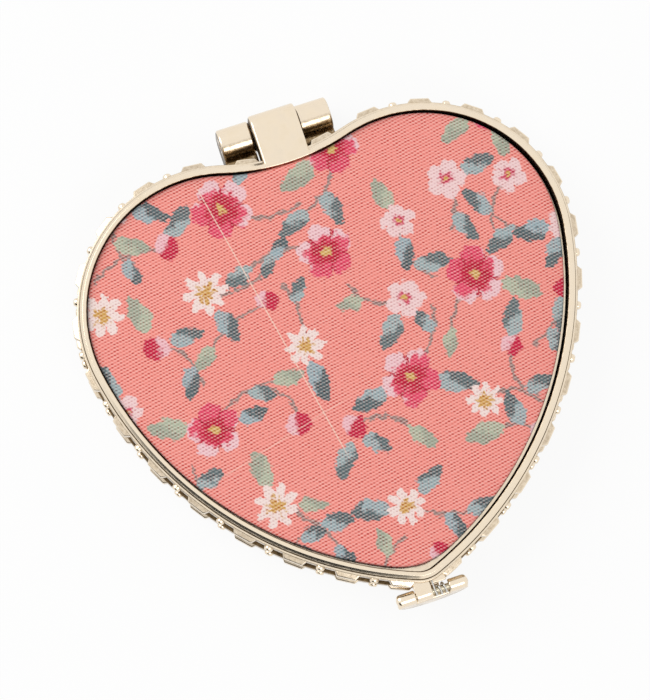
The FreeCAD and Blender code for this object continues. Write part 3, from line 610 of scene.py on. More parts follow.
def pull_threads(finish, colour, where):
    """Pale threads, pulled tight, that run across the cloth."""
    x, y, _ = finish.split(where)
    for left, low, right, high, strength in PULLED_THREADS:
        run = math.hypot(right - left, high - low)
        c, s = (right - left) / run, (high - low) / run
        forth = finish.math("MULTIPLY_ADD", y, s, -left * c - low * s)
        forth = finish.math("MULTIPLY_ADD", x, c, forth)
        aside = finish.math("MULTIPLY_ADD", y, c, left * s - low * c)
        aside = finish.math("MULTIPLY_ADD", x, -s, aside)
        on_thread = finish.below(finish.size(aside), THREAD_HALF_WIDTH, 0.08)
        on_run = finish.below(finish.size(finish.minus(forth, run / 2)), run / 2, THREAD_FADE)
        pull = finish.times(finish.times(on_thread, on_run), strength)
        colour = finish.mix(pull, colour, THREAD_CREAM)
    return colour


def printed_cotton(name):
    """Ribbed cotton with a small floral print.

    The print's shapes come from each motif's own coordinates, in millimetres, that print_motifs()
    stores on the cloth. Each float of the weave catches the light, which falls off in the pits
    between them.
    """
    finish = Finish(name)
    where = finish.place()
    rows = float_rows(finish, where)
    floors = {axis: finish.math("FLOOR", row) for axis, row in enumerate(rows)}
    cell = finish.node("ShaderNodeCombineXYZ", floors).outputs[0]
    chance = finish.node("ShaderNodeTexWhiteNoise", {"Vector": cell}, noise_dimensions="2D").outputs["Color"]
    shift = uneven_edges(finish, where, chance)
    brush = finish.noise(1.3, 3.0, where)

    colour = finish.mix(finish.noise(0.22, 2.0, where), CORAL, LIGHT_CORAL)
    colour = print_stems(finish, colour, shift)
    colour = print_leaves(finish, colour, shift, brush)
    colour = print_flowers(finish, colour, shift, brush)
    colour = pull_threads(finish, colour, where)

    waves = [finish.math("COSINE", finish.times(row, 2 * math.pi)) for row in rows]
    weave = finish.math("MULTIPLY_ADD", waves[0], 0.62, finish.times(waves[1], 0.38))
    weave = finish.times(weave, finish.spread(finish.split(chance)[2], 0.5, 1.5))
    paleness = finish.node("ShaderNodeSeparateColor", {0: colour}).outputs["Green"]
    depth = finish.math("MULTIPLY_ADD", finish.below(0.55, paleness, 0.5), 0.5, -0.9)
    colour = finish.mix(finish.times(weave, depth, clamp=True), colour, PIT_ROSE, blend="MULTIPLY")
    colour = finish.mix(finish.times(weave, 0.42, clamp=True), colour, CREST_CREAM)
    finish.set(Base_Color=colour, Roughness=0.82, Specular_IOR_Level=0.25)
    finish.set(Sheen_Weight=0.12, Sheen_Roughness=0.5)
    finish.bump(weave, 0.4, 0.00003)
    return finish.material


# Frames

# FLUSH keeps the lip's top just under the hinge strap's, so that they don't flicker together. The second
# value below is the width of painted shade on the ledge at the foot of the recess wall
FLUSH, WALL_FOOT_SHADE = 0.004, 0.22
KNUCKLE_SHOULDER, STRAP_ROUND, KNUCKLE_ROUND = 0.5, 0.28, 0.3


def band_step(half):
    """How far the band of a half stands out from its lip."""
    return BAND_STEP if half == "lid" else BASE_BAND_STEP


def make_ring(half, metal):
    """Ring of one half: band, lip, recess for the panel and seat for the mirror."""
    band_top, open_edge, top = BAND_LEVEL + BAND_HEIGHT, -OPENING_INSET, HALF_THICKNESS - FLUSH
    step = band_step(half)
    # The last value of each corner is the painted shade, for shade and dark reflection, of the side that
    # follows: deepest on the recess wall and the strip of ledge at its foot, on the wall above the band and
    # under the band
    corners = [
        (0.0, RIM_LEVEL, 0.12, 0.26),
        (0.0, BAND_LEVEL, 0, 0.75),
        (step, BAND_LEVEL, 0.1, 0.36),
        (step, band_top, 0.1, 0.05),
        (0.12, band_top, 0, 0.8),
        (0.0, band_top, 0, 0.9),
        (0.0, top - LIP_BEVEL, 0.04, 0.0),
        (-LIP_BEVEL, top, 0.06, 0.0),
        (-LIP_WIDTH, top, 0.1, 0.97),
        (-LIP_WIDTH, LEDGE, 0, 0.97),
        (-LIP_WIDTH - WALL_FOOT_SHADE, LEDGE, 0, 0.05),
        (open_edge, LEDGE, 0.1, 0.3),
        (open_edge, FLANGE_UNDER, 0.1, 0.3),
        (-MIRROR_RIM, FLANGE_UNDER, 0, 0.5),
        (-MIRROR_RIM, RIM_LEVEL, 0.12, 0.0),
    ]
    ring = sweep_ring(half + "_ring", rounded_profile(corners), half, metal)
    even_shading(ring)
    return ring


def hinge_outline(root, shoulder):
    """Side view of a hinge knuckle: flat top, rounded over at the back, barrel below."""
    top = HALF_THICKNESS
    over = arc_points((HINGE_Y, top - BARREL_RADIUS), BARREL_RADIUS, 90, 0, 10)
    under = arc_points((HINGE_Y, 0), BARREL_RADIUS, 0, -183, 22)
    return [(root, RIM_LEVEL), (root, top - KNUCKLE_SHOULDER), (shoulder, top), *over, *under]


def barrel_shade(place):
    """Painted shade, for shade and dark reflection, on the barrels' side towards the lip, deeper where it
    faces furthest forward.
    """
    forward = (HINGE_Y - place.y) / BARREL_RADIUS
    if forward > 0.62:
        return 0.5
    return 0.2 if forward > 0.3 else 0.0


def make_knuckle(name, left, right, half, metal, clearance, bevel, root, shoulder, shade_level=None):
    outline = hinge_outline(root, shoulder)
    # Painted shade: deep on the end faces, which face the narrow gaps between the knuckles, and on the sides
    # as given by place
    shade_values = {"end_shade": 0.9, "side_shade": shade_level}
    knuckle = prism(name, outline, left, right, half, metal, bevel, root=shoulder + 0.01, **shade_values)
    cut_hole(knuckle, (HINGE_Y, 0), HINGE_PIN_RADIUS + clearance, half)
    even_shading(knuckle)
    return knuckle


def make_clasp_lug(metal):
    """Lug for the clasp pin, and the low stop beside it for the spring's leg."""
    root, low, high = TIP_Y + LIP_WIDTH / 2, CLASP_HEIGHT - LUG_RADIUS, CLASP_HEIGHT + LUG_RADIUS
    right = LUG_LEFT + LUG_WIDTH
    nose = arc_points((CLASP_Y, CLASP_HEIGHT), LUG_RADIUS, 90, 270, 16)
    lug = prism("clasp_lug", [(root, high), *nose, (root, low)], LUG_LEFT, right, "lid", metal, 0.12)
    cut_hole(lug, (CLASP_Y, CLASP_HEIGHT), CLASP_PIN_RADIUS + PRESS_CLEARANCE, "lid")
    even_shading(lug)
    stop_left = right + SPRING_SIDE_GAP
    stop_y = CLASP_Y + SPRING_RADIUS + SPRING_WIRE / 2 + SPRING_SIDE_GAP
    stop_top = CLASP_HEIGHT + SPRING_RADIUS - SPRING_WIRE / 2 - PRESS_CLEARANCE
    outline = [(root, stop_top), (stop_y, stop_top), (stop_y, low), (root, low)]
    stop = prism("spring_stop", outline, stop_left, -LUG_LEFT, "lid", metal, 0.1)
    return [lug, stop]


def make_catch(metal):
    """Catch at the base's point, sloped where the hook rides over it."""
    root, low = TIP_Y + LIP_WIDTH / 2, CATCH_TOP + CATCH_HEIGHT
    ramp_y, ramp_level = (TIP_Y + CATCH_Y) / 2, CATCH_TOP + CATCH_HEIGHT / 2
    outline = [(root, CATCH_TOP), (ramp_y, CATCH_TOP), (CATCH_Y, ramp_level), (CATCH_Y, low), (root, low)]
    return prism("clasp_catch", outline, -CATCH_WIDTH / 2, CATCH_WIDTH / 2, "base", metal, 0.1)


def make_frames(metal):
    knuckle = (HINGE_LENGTH - STRAP_WIDTH) / 2 - KNUCKLE_GAP
    far = HINGE_LENGTH / 2
    strap_start = WALL_Y - LIP_WIDTH + 0.15, WALL_Y - LIP_BEVEL - 0.04
    strap_set = "lid", metal, RUNNING_CLEARANCE, STRAP_ROUND, *strap_start
    strap = make_knuckle("hinge_strap", -STRAP_WIDTH / 2, STRAP_WIDTH / 2, *strap_set)
    start = WALL_Y + KNUCKLE_ROOT, WALL_Y + KNUCKLE_SHOULDER
    outer_set = "base", metal, PRESS_CLEARANCE, KNUCKLE_ROUND, *start, barrel_shade
    left = make_knuckle("left_knuckle", -far, knuckle - far, *outer_set)
    right = make_knuckle("right_knuckle", far - knuckle, far, *outer_set)
    extras = {"lid": [strap, *make_clasp_lug(metal)], "base": [left, right, make_catch(metal)]}
    for half in HALVES:
        beads = edge_beads(half, metal)
        whole = join(half + "_cast_frame", [make_ring(half, metal), *beads, *extras[half]])
        seat(whole, half, "plated_metal", half + "_frame")


# Bars and dots along the edge

def bead_rows():
    """Pitch of the beads, and how many steps lie between the point and the last bar by the hinge."""
    usable = HeartPath(8, BAND_STEP).length / 2 - BEAD_HINGE_SPACE
    steps = round(usable / BEAD_PITCH - 0.5)
    return usable / (steps + 0.5), steps


def edge_curve(name, half, first, last):
    """Line along the band between two distances from the point, negative on the left."""
    path = HeartPath(2400, band_step(half))
    signed = (path.along + path.length / 2) % path.length - path.length / 2
    order = np.argsort(signed)
    signed, points = signed[order], path.points()[order]
    inside = (signed > first) & (signed < last)
    ends = [[np.interp(end, signed, points[:, axis]) for axis in (0, 1)] for end in (first, last)]
    run = np.vstack([ends[0], points[inside], ends[1]])
    level = BAND_LEVEL + BAND_HEIGHT / 2
    line = set_in_half(np.column_stack([run, np.full(len(run), level)]), half)
    line = line if half == "lid" else line[::-1]
    curve = bpy.data.curves.new(name, "CURVE")
    curve.dimensions = "3D"
    spline = curve.splines.new("POLY")
    spline.points.add(len(line) - 1)
    spline.points.foreach_set("co", np.column_stack([line, np.ones(len(line))]).ravel())
    made = bpy.data.objects.new(name, curve)
    bpy.context.scene.collection.objects.link(made)
    return made


def bead_tree():
    """Geometry nodes: beads at Count places along Path, turned outwards, of slightly uneven size."""
    tree = bpy.data.node_groups.new("beads along the edge", "GeometryNodeTree")
    for name, kind, way in (
        ("Bead", "NodeSocketGeometry", "INPUT"),
        ("Path", "NodeSocketObject", "INPUT"),
        ("Count", "NodeSocketInt", "INPUT"),
        ("Least Size", "NodeSocketFloat", "INPUT"),
        ("Metal", "NodeSocketMaterial", "INPUT"),
        ("Beads", "NodeSocketGeometry", "OUTPUT"),
    ):
        tree.interface.new_socket(name, in_out=way, socket_type=kind)
    add, link = tree.nodes.new, tree.links.new
    given, made = add("NodeGroupInput"), add("NodeGroupOutput")
    path, spread = add("GeometryNodeObjectInfo"), add("GeometryNodeCurveToPoints")
    turn = add("FunctionNodeAxesToRotation")
    uneven, place = add("FunctionNodeRandomValue"), add("GeometryNodeInstanceOnPoints")
    whole, paint = add("GeometryNodeRealizeInstances"), add("GeometryNodeSetMaterial")
    spread.mode = "COUNT"
    turn.primary_axis, turn.secondary_axis = "X", "Z"
    turn.inputs["Secondary Axis"].default_value = (0, 0, 1)
    uneven.data_type = "FLOAT"
    uneven.inputs["Seed"].default_value = 7
    uneven.inputs[3].default_value = 1.0
    link(given.outputs["Path"], path.inputs["Object"])
    link(path.outputs["Geometry"], spread.inputs["Curve"])
    link(given.outputs["Count"], spread.inputs["Count"])
    link(spread.outputs["Tangent"], turn.inputs["Primary Axis"])
    link(given.outputs["Least Size"], uneven.inputs[2])
    link(spread.outputs["Points"], place.inputs["Points"])
    link(given.outputs["Bead"], place.inputs["Instance"])
    link(turn.outputs["Rotation"], place.inputs["Rotation"])
    link(uneven.outputs[1], place.inputs["Scale"])
    link(place.outputs["Instances"], whole.inputs["Geometry"])
    link(whole.outputs["Geometry"], paint.inputs["Geometry"])
    link(given.outputs["Metal"], paint.inputs["Material"])
    link(paint.outputs["Geometry"], made.inputs["Beads"])
    return tree


def bar_piece(half, metal):
    """One plaque, its outside towards -Y: a tapered block with softened edges."""
    made = bmesh.new()
    corners = []
    projection = BAND_STEP + BAR_PROJECTION - band_step(half)
    for out, taper, inset in ((-BEAD_ROOT, 0.0, 0.0), (projection, BAR_TAPER, BAR_BEVEL)):
        x, z = BAR_LENGTH / 2 - taper, BAR_HEIGHT / 2 - inset
        square = (-x, -z), (x, -z), (x, z), (-x, z)
        corners.append([made.verts.new((across, -out, up)) for across, up in square])
    for face in (*corners, *loop_quads(corners)):
        made.faces.new(face)
    bmesh.ops.recalc_face_normals(made, faces=made.faces)
    bmesh.ops.bevel(made, geom=list(made.edges), offset=0.1, segments=2, profile=0.6, affect="EDGES")
    outside = [face for face in made.faces if face.calc_center_median().y < 0]
    sides = [face for face in outside if face.calc_area() > BAR_SIDE_AREA]
    bmesh.ops.inset_individual(made, faces=sides, thickness=BAR_RIM)
    # The inner part of each large outside face gets painted dark reflection
    return bead_piece("bar", made, metal, {vert for face in sides for vert in face.verts})


def dot_piece(half, metal):
    """One dot, its outside towards -Y: a short stud with a domed end."""
    made = bmesh.new()
    rings, around = 5, 16
    projection = BAND_STEP + DOT_PROJECTION - band_step(half)
    outline = [(DOT_RADIUS, -BEAD_ROOT)]
    for a in np.linspace(0, math.pi / 2, rings, endpoint=False):
        outline.append((DOT_RADIUS * math.cos(a) ** DOT_BLUNTNESS, projection * math.sin(a)))
    loops = []
    for radius, out in outline:
        angles = [2 * math.pi * k / around for k in range(around)]
        loops.append([made.verts.new((radius * math.cos(a), -out, radius * math.sin(a))) for a in angles])
    for face in (*loop_quads(loops), loops[0], loops[-1]):
        made.faces.new(face)
    return bead_piece("dot", made, metal)


def bead_piece(name, made, metal, darkened=frozenset()):
    """A bead in metres, with painted shade at its root, where it meets the band, and at the vertices given.
    """
    mesh = bpy.data.meshes.new(name)
    shade_values = [BEAD_SHADE if -vert.co.y < ROOT_SHADE_DEPTH or vert in darkened else 0.0 for vert in made.verts]
    bmesh.ops.scale(made, vec=(MM, MM, MM), verts=made.verts)
    made.to_mesh(mesh)
    made.free()
    store_shade_layer(mesh, shade_values)
    return finish_piece(name, mesh, metal)


def edge_beads(half, metal):
    """Bars and dots of one half, without the dots next to the hinge.

    The base's last bars, behind the hinge's outer knuckles, are left out too.
    """
    pitch, steps = bead_rows()
    last = steps if half == "lid" else steps - 1
    tree = bpy.data.node_groups.get("beads along the edge") or bead_tree()
    sockets = {item.name: item.identifier for item in tree.interface.items_tree if item.in_out == "INPUT"}
    rows = [
        (bar_piece(half, metal), 2 * (last + 1), -(last + 0.5) * pitch, (last + 0.5) * pitch, 0.97),
        (dot_piece(half, metal), steps - 1, pitch, (steps - 1) * pitch, 0.94),
        (dot_piece(half, metal), steps - 1, -(steps - 1) * pitch, -pitch, 0.94),
    ]
    pieces = []
    for bead, count, start, end, least in rows:
        path = edge_curve(half + "_edge", half, start, end)
        strung = bead.modifiers.new("beads", "NODES")
        strung.node_group = tree
        for name, value in (("Path", path), ("Count", count), ("Least Size", least), ("Metal", metal)):
            strung[sockets[name]] = value
        settle(bead)
        bead.data.polygons.foreach_set("use_smooth", [True] * len(bead.data.polygons))
        bpy.data.objects.remove(path)
        even_shading(bead)
        pieces.append(bead)
    return pieces


# Clasp

EAR_DOME_START = 0.62


def make_ear(side, inner, outer, metal):
    """Rolled ear of the lever about the clasp pin, with a domed outer end."""
    around, made = 36, bmesh.new()
    length = outer - inner
    outline = [(0.0, 0.6), (0.0, 0.88), (0.02, 0.97)]
    for share in np.linspace(0.06, 0.995, 16):
        into_dome = max(0.0, (share - EAR_DOME_START) / (1 - EAR_DOME_START))
        outline.append((share, math.sqrt(1 - into_dome ** 4)))
    loops = []
    for share, size in outline:
        x, radius = side * (inner + share * length), EAR_RADIUS * size
        angles = [2 * math.pi * k / around for k in range(around)]
        spots = [(x, CLASP_Y + radius * math.cos(a), CLASP_HEIGHT + radius * math.sin(a)) for a in angles]
        loops.append([made.verts.new(spot) for spot in set_in_half(spots, "lid")])
    for face in (*loop_quads(loops), loops[-1], loops[0]):
        made.faces.new(face)
    mesh = bpy.data.meshes.new("clasp_ear")
    made.to_mesh(mesh)
    made.free()
    return finish_piece("clasp_ear", mesh, metal)


def make_clasp(metal):
    """Half-round lever with two ears and the hook behind it."""
    radius, half_slot = LEVER_WIDTH / 2, LEVER_SLOT / 2
    floor = CLASP_HEIGHT - LUG_RADIUS - CLASP_GAP
    rim = arc_points((0, CLASP_HEIGHT), radius, 191, 349, 44)
    corner = radius - PLATE_CORNER
    slot = [(half_slot, CLASP_HEIGHT), (half_slot, floor), (-half_slot, floor), (-half_slot, CLASP_HEIGHT)]
    outline = [(-corner, CLASP_HEIGHT), *rim, (corner, CLASP_HEIGHT), *slot]
    # The plate's front and back faces get a little painted shade
    plate = prism("clasp_plate", outline, PLATE_FRONT, PLATE_BACK, "lid", metal, 0.2, axis="y", end_shade=0.1)
    lean = math.asin(PLATE_LEAN / (radius - 0.3))
    pivot = Vector(set_in_half([(0, PLATE_FRONT, CLASP_HEIGHT)], "lid")[0])
    tip_out = Matrix.Translation(pivot) @ Matrix.Rotation(-lean, 4, "X")
    plate.data.transform(tip_out @ Matrix.Translation(-pivot))
    pieces = [plate]
    for side in (-1, 1):
        pieces.append(make_ear(side, half_slot, radius, metal))
    hook_root, hook_low = PLATE_BACK - 0.3 - 0.8 * PLATE_LEAN, HOOK_TOP - HOOK_HEIGHT
    hook = [(hook_root, HOOK_TOP), (CATCH_Y + HOOK_GRIP, HOOK_TOP),
            (PLATE_BACK - PLATE_LEAN / 2, hook_low), (hook_root, hook_low)]
    pieces.append(prism("clasp_hook", hook, -HOOK_WIDTH / 2, HOOK_WIDTH / 2, "lid", metal, 0.08))
    lever = join("clasp_thumb_lever", pieces)
    seat(lever, "clasp", "plated_metal", "clasp_lever")


# Panels and mirrors

def heart_block(path, edge, side_rings, around, patch_share=0.55, rings=9):
    """A closed heart-shaped block.

    edge is the inset of the faces' own rim, side_rings the (inset, level) rings between the upper
    and the lower face. Each face is a grid in the middle with rings about it. Returns vertices, faces
    and the index lists of the upper and the lower face.
    """
    n = around // 4
    vertices, faces = [], []

    def face_grid(level, inset):
        rim = path.points(-inset)
        middle = np.array([0.0, HEART_Y - 6.0])
        loops = []
        for step in range(rings + 1):
            share = 1 - (1 - patch_share) * step / rings
            start = len(vertices)
            vertices.extend((*(middle + (point - middle) * share), level) for point in rim)
            loops.append(list(range(start, start + around)))
        loop = loops[-1]
        grid = np.zeros((n + 1, n + 1), dtype=int)
        side = [loop[(k - n // 2) % around] for k in range(around)]
        grid[:, 0], grid[n, :] = side[0:n + 1], side[n:2 * n + 1]
        grid[:, n] = [side[3 * n - k] for k in range(n + 1)]
        grid[0, :] = [side[(4 * n - k) % around] for k in range(n + 1)]
        at = np.array([vertex[:2] for vertex in vertices])
        for i in range(1, n):
            for j in range(1, n):
                u, v = i / n, j / n
                point = (1 - v) * at[grid[i, 0]] + v * at[grid[i, n]]
                point = point + (1 - u) * at[grid[0, j]] + u * at[grid[n, j]]
                point = point - (1 - u) * (1 - v) * at[grid[0, 0]] - u * (1 - v) * at[grid[n, 0]]
                point = point - (1 - u) * v * at[grid[0, n]] - u * v * at[grid[n, n]]
                grid[i, j] = len(vertices)
                vertices.append((*point, level))
        faces.extend(loop_quads(loops))
        for i in range(n):
            for j in range(n):
                faces.append((grid[i, j], grid[i + 1, j], grid[i + 1, j + 1], grid[i, j + 1]))
        return loops[0]

    upper_level, lower_level = side_rings[0][1], side_rings[-1][1]
    upper = face_grid(upper_level, edge[0])
    upper_count = len(vertices)
    sides = []
    for inset, level in side_rings[1:-1]:
        start = len(vertices)
        vertices.extend((*point, level) for point in path.points(-inset))
        sides.append(list(range(start, start + around)))
    lower_start = len(vertices)
    lower = face_grid(lower_level, edge[1])
    faces.extend(loop_quads([upper, *sides, lower]))
    return np.array(vertices), faces, np.arange(upper_count), np.arange(lower_start, len(vertices))


def swell(vertices, faces, free, rise):
    """Blow the free face of a closed pad up as cloth, and scale it to the rise wanted.

    The cloth is worked at a larger scale, where the solver is steady.
    """
    large = 20.0 * MM
    mesh = bpy.data.meshes.new("pad in the press")
    mesh.from_pydata([tuple(v * large) for v in vertices], [], [tuple(f) for f in faces])
    pad = finish_piece("pad in the press", mesh, bpy.data.materials.new("raw cloth"))
    held = pad.vertex_groups.new(name="held")
    held.add([int(k) for k in np.setdiff1d(np.arange(len(vertices)), free)], 1.0, "REPLACE")
    cloth = pad.modifiers.new("cloth", "CLOTH").settings
    cloth.vertex_group_mass = "held"
    cloth.quality = 6
    cloth.tension_stiffness = cloth.compression_stiffness = 18.0
    cloth.bending_stiffness = 1.0
    cloth.use_pressure = True
    cloth.uniform_pressure_force = 4.0
    cloth.effector_weights.gravity = 0.0
    scene = bpy.context.scene
    for moment in range(1, 21):
        scene.frame_set(moment)
    blown = pad.evaluated_get(bpy.context.evaluated_depsgraph_get()).to_mesh()
    after = np.array([tuple(v.co) for v in blown.vertices]) / large
    scene.frame_set(1)
    bpy.data.objects.remove(pad)
    lift = after[:, 2] - vertices[:, 2]
    print(f"cloth: swells {lift[free].max():.3f} mm, scaled to {rise} mm")
    raised = vertices.copy()
    raised[free, 2] += np.clip(lift[free] / lift[free].max(), 0, 1) * rise
    return raised


def make_panel(half, cotton, seed):
    """Padded cloth panel: crowned, rolled over at its rim and tucked under round the board."""
    path = HeartPath(PANEL_AROUND, -PANEL_INSET, PANEL_TIP_RADIUS, PANEL_SHIFT)
    flat = CROWN_TOP - CROWN_RISE
    roll = arc_points((FABRIC_ROUND, flat - FABRIC_ROUND), FABRIC_ROUND, 90, 180, 4)
    tuck = FABRIC_THICKNESS + 0.04
    outside = [(0.0, BOARD_TOP), (0.0, BOARD_BOTTOM + 0.12), (0.1, BOARD_BOTTOM + 0.03)]
    turned_in = [(tuck - 0.05, BOARD_BOTTOM + 0.03), (tuck, BOARD_BOTTOM + 0.1),
                 (tuck, BOARD_TOP - 0.02), (tuck + 0.4, BOARD_TOP + 0.02)]
    sides = [*roll, *outside, *turned_in]
    vertices, faces, upper, _ = heart_block(path, (roll[0][0], sides[-1][0]), sides, PANEL_AROUND)
    rim = upper[:PANEL_AROUND]
    vertices = swell(vertices, faces, np.setdiff1d(upper, rim), CROWN_RISE)
    near_wall = np.clip((vertices[:, 1] - WALL_Y + STRAP_REACH) / 3.0, 0, 1)
    by_strap = np.exp(-(vertices[:, 0] / STRAP_REACH) ** 2) * near_wall
    vertices[upper, 2] += (STRAP_LIFT * by_strap)[upper]
    vertices[:, 1] += STRAP_PULL * by_strap
    panel = new_piece(half + "_cotton_panel", set_in_half(vertices, half), faces, cotton)
    soften = panel.modifiers.new("soften", "SUBSURF")
    soften.levels = soften.render_levels = 1
    settle(panel)
    print_motifs(panel, seed)
    seat(panel, half, "printed_fabric", half + "_fabric", half + "_foam_pad")


def make_mirror(half, glass):
    """Mirror with ground edges. The base's face is hollowed, to magnify."""
    path = HeartPath(MIRROR_AROUND, -MIRROR_INSET)
    ground = MIRROR_GROUND
    back = [(ground, MIRROR_BACK), (0.0, MIRROR_BACK - ground)]
    sides = [*back, (0.0, MIRROR_FRONT + ground), (ground, MIRROR_FRONT)]
    vertices, faces, _, front = heart_block(path, (ground, ground), sides, MIRROR_AROUND)
    if half == "base":
        middle = np.array([0.0, (WALL_Y + TIP_Y) / 2])
        off = np.linalg.norm(vertices[front, :2] - middle, axis=1)
        vertices[front, 2] += np.maximum(0, MAGNIFIER_SAG - off ** 2 / (2 * MAGNIFIER_RADIUS))
    mirror = new_piece(half + "_looking_glass", set_in_half(vertices, half), faces, glass)
    even_shading(mirror)
    seat(mirror, half, "mirror_glass", half + "_mirror")


# Print

def scatter_print(seed):
    """Lay out a small floral print: flowers, then stems between them, then leaves along the stems."""
    chance = random.Random(seed)
    flowers, stems, leaves = [], [], []

    def free(x, y, reach, others, gap):
        return all(math.hypot(x - o["x"], y - o["y"]) > reach + o["reach"] + gap for o in others)

    # kind: (how many, least and most radius, petals, gap to its neighbours)
    kinds = {
        BLOSSOM: (10, 3.4, 4.3, 5, 5.5),
        DAISY: (10, 2.5, 3.1, 8, 3.4),
        PALE: (7, 2.3, 2.8, 5, 3.0),
        BUD: (11, 1.7, 2.2, 2, 2.2),
    }
    for kind, (count, small, large, petals, gap) in kinds.items():
        made = 0
        for _ in range(900):
            x, y, reach = chance.uniform(-33, 33), chance.uniform(-32, 30), chance.uniform(small, large)
            if made < count and free(x, y, reach, flowers, gap):
                made += 1
                turn = chance.uniform(0, 2 * math.pi)
                flower = {"x": x, "y": y, "reach": reach, "petals": petals, "kind": kind, "turn": turn}
                flowers.append(flower)

    for flower in flowers:
        for _ in range(14):
            way, length = chance.uniform(0, 2 * math.pi), chance.uniform(6.5, 11.0)
            x, y = flower["x"] + math.cos(way) * length, flower["y"] + math.sin(way) * length
            if not free(x, y, 0.8, flowers, 0.3):
                continue
            bow = chance.choice((-1, 1)) * chance.uniform(0.6, 1.8)
            stem = {"x": flower["x"], "y": flower["y"], "turn": way, "length": length, "bow": bow}
            if not any(math.hypot(s["x"] - flower["x"], s["y"] - flower["y"]) < 0.01 for s in stems):
                stems.append(stem)
                grow_leaves(stem, leaves, flowers, chance)
    for flower in flowers:
        for _ in range(3):
            way, length = chance.uniform(0, 2 * math.pi), chance.uniform(4.2, 6.0)
            off = flower["reach"] + length * 0.42
            x, y = flower["x"] + math.cos(way) * off, flower["y"] + math.sin(way) * off
            add_leaf(leaves, flowers, chance, x, y, way, length, [flower])
    return flowers, stems, leaves


def grow_leaves(stem, leaves, flowers, chance):
    """Set leaves along a stem, on alternate sides, and one at its end."""
    side = chance.choice((-1, 1))
    for share in (0.66, 1.0):
        lift = 4 * share * (1 - share) * stem["bow"]
        slope = math.atan(4 * (1 - 2 * share) * stem["bow"] / stem["length"])
        x = stem["x"] + math.cos(stem["turn"]) * stem["length"] * share - math.sin(stem["turn"]) * lift
        y = stem["y"] + math.sin(stem["turn"]) * stem["length"] * share + math.cos(stem["turn"]) * lift
        lean = 0.0 if share == 1.0 else side * chance.uniform(0.7, 1.1)
        way, length = stem["turn"] + slope + lean, chance.uniform(3.8, 5.4)
        x, y = x + math.cos(way) * length * 0.48, y + math.sin(way) * length * 0.48
        add_leaf(leaves, flowers, chance, x, y, way, length, [])
        side = -side


def add_leaf(leaves, flowers, chance, x, y, way, length, allowed):
    """Add a leaf where it has room."""
    def off(other):
        return math.hypot(x - other["x"], y - other["y"])

    others = [flower for flower in flowers if flower not in allowed]
    clear_of_leaves = all(off(leaf) > 0.36 * (length + leaf["length"]) for leaf in leaves)
    clear_of_flowers = all(off(flower) > flower["reach"] + 0.3 * length for flower in others)
    if clear_of_leaves and clear_of_flowers:
        tone = 1.0 if chance.random() < 0.22 else chance.uniform(0, 0.25)
        leaves.append({"x": x, "y": y, "turn": way, "length": length, "tone": tone})


def print_motifs(panel, seed):
    """Store, on each face of the cloth, the coordinates of the nearest flower, stem and leaf."""
    mesh = panel.data
    flowers, stems, leaves = scatter_print(seed)
    middles = np.zeros(len(mesh.polygons) * 3, dtype=np.float32)
    mesh.polygons.foreach_get("center", middles)
    middles = middles.reshape(-1, 3)[:, :2] / MM
    totals = np.zeros(len(mesh.polygons), dtype=np.int32)
    mesh.polygons.foreach_get("loop_total", totals)
    corner_vertex = np.zeros(len(mesh.loops), dtype=np.int32)
    mesh.loops.foreach_get("vertex_index", corner_vertex)
    spots = np.zeros(len(mesh.vertices) * 3, dtype=np.float32)
    mesh.vertices.foreach_get("co", spots)
    corners = spots.reshape(-1, 3)[corner_vertex, :2] / MM

    def own_frame(points, motif):
        across = points - (motif["x"], motif["y"])
        c, s = math.cos(motif["turn"]), math.sin(motif["turn"])
        return across[:, 0] * c + across[:, 1] * s, across[:, 1] * c - across[:, 0] * s

    def nearness(kind, motif):
        along, off = own_frame(middles, motif)
        if kind == "flower":
            return np.hypot(along, off) - motif["reach"]
        if kind == "leaf":
            return np.hypot(along, off * 2.2) - motif["length"] / 2
        share = np.clip(along / motif["length"], 0, 1)
        return np.hypot(off - 4 * share * (1 - share) * motif["bow"], along - share * motif["length"])

    for layer, motifs, size, extras in (
        ("flower", flowers, "reach", {"petals": "petals", "flower_kind": "kind"}),
        ("leaf", leaves, "length", {"leaf_tone": "tone"}),
        ("stem", stems, "length", {"stem_bow": "bow"}),
    ):
        nearest = np.argmin([nearness(layer, motif) for motif in motifs], axis=0)
        chosen = np.repeat(nearest, totals)
        values = np.zeros((len(corners), 3), dtype=np.float32)
        for index, motif in enumerate(motifs):
            mine = chosen == index
            along, off = own_frame(corners[mine], motif)
            values[mine] = np.column_stack([along, off, np.full(mine.sum(), motif[size])])
        mesh.attributes.new(layer, "FLOAT_VECTOR", "CORNER").data.foreach_set("vector", values.ravel())
        for name, key in extras.items():
            flat = np.array([motif[key] for motif in motifs], dtype=np.float32)[nearest]
            mesh.attributes.new(name, "FLOAT", "FACE").data.foreach_set("value", flat)


# Carried-over CAD pieces

def dress_inner_pieces():
    """Give the small and the hidden CAD pieces their materials."""
    board, tape = grey_board(), adhesive_tape()
    wire = steel("drawn pin steel", srgb(206, 196, 172), 0.2)
    spring = steel("bright spring wire", srgb(226, 224, 218), 0.14)
    looks = {"hinge_pin": wire, "clasp_pin": wire, "clasp_spring": spring}
    for half in HALVES:
        looks.update({half + "_panel_board": board, half + "_panel_tape": tape, half + "_mirror_tape": tape})
    for node, material in looks.items():
        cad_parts[node].data.materials.clear()
        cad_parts[node].data.materials.append(material)


# Stage

CAMERA_TURN, CAMERA_TILT, CAMERA_LEAN = 18.15, -9.98, 1.95
CAMERA_AIM = Vector((0.0, HEART_Y - 5.93, 2 * HALF_THICKNESS)) * MM
CAMERA_DISTANCE = 0.3527
LENS, SENSOR_WIDTH, LENS_SHIFT = 138.45, 36.0, (-0.0238, -0.0441)
DARK_PATCH_WAY, DARK_PATCH_EDGE = (-0.72, -0.66, 0.2), (0.76, 0.93)
WORLD_DIM, FLOOR_GLOW, FLOOR_REACH = 0.55, 0.9, 3.0


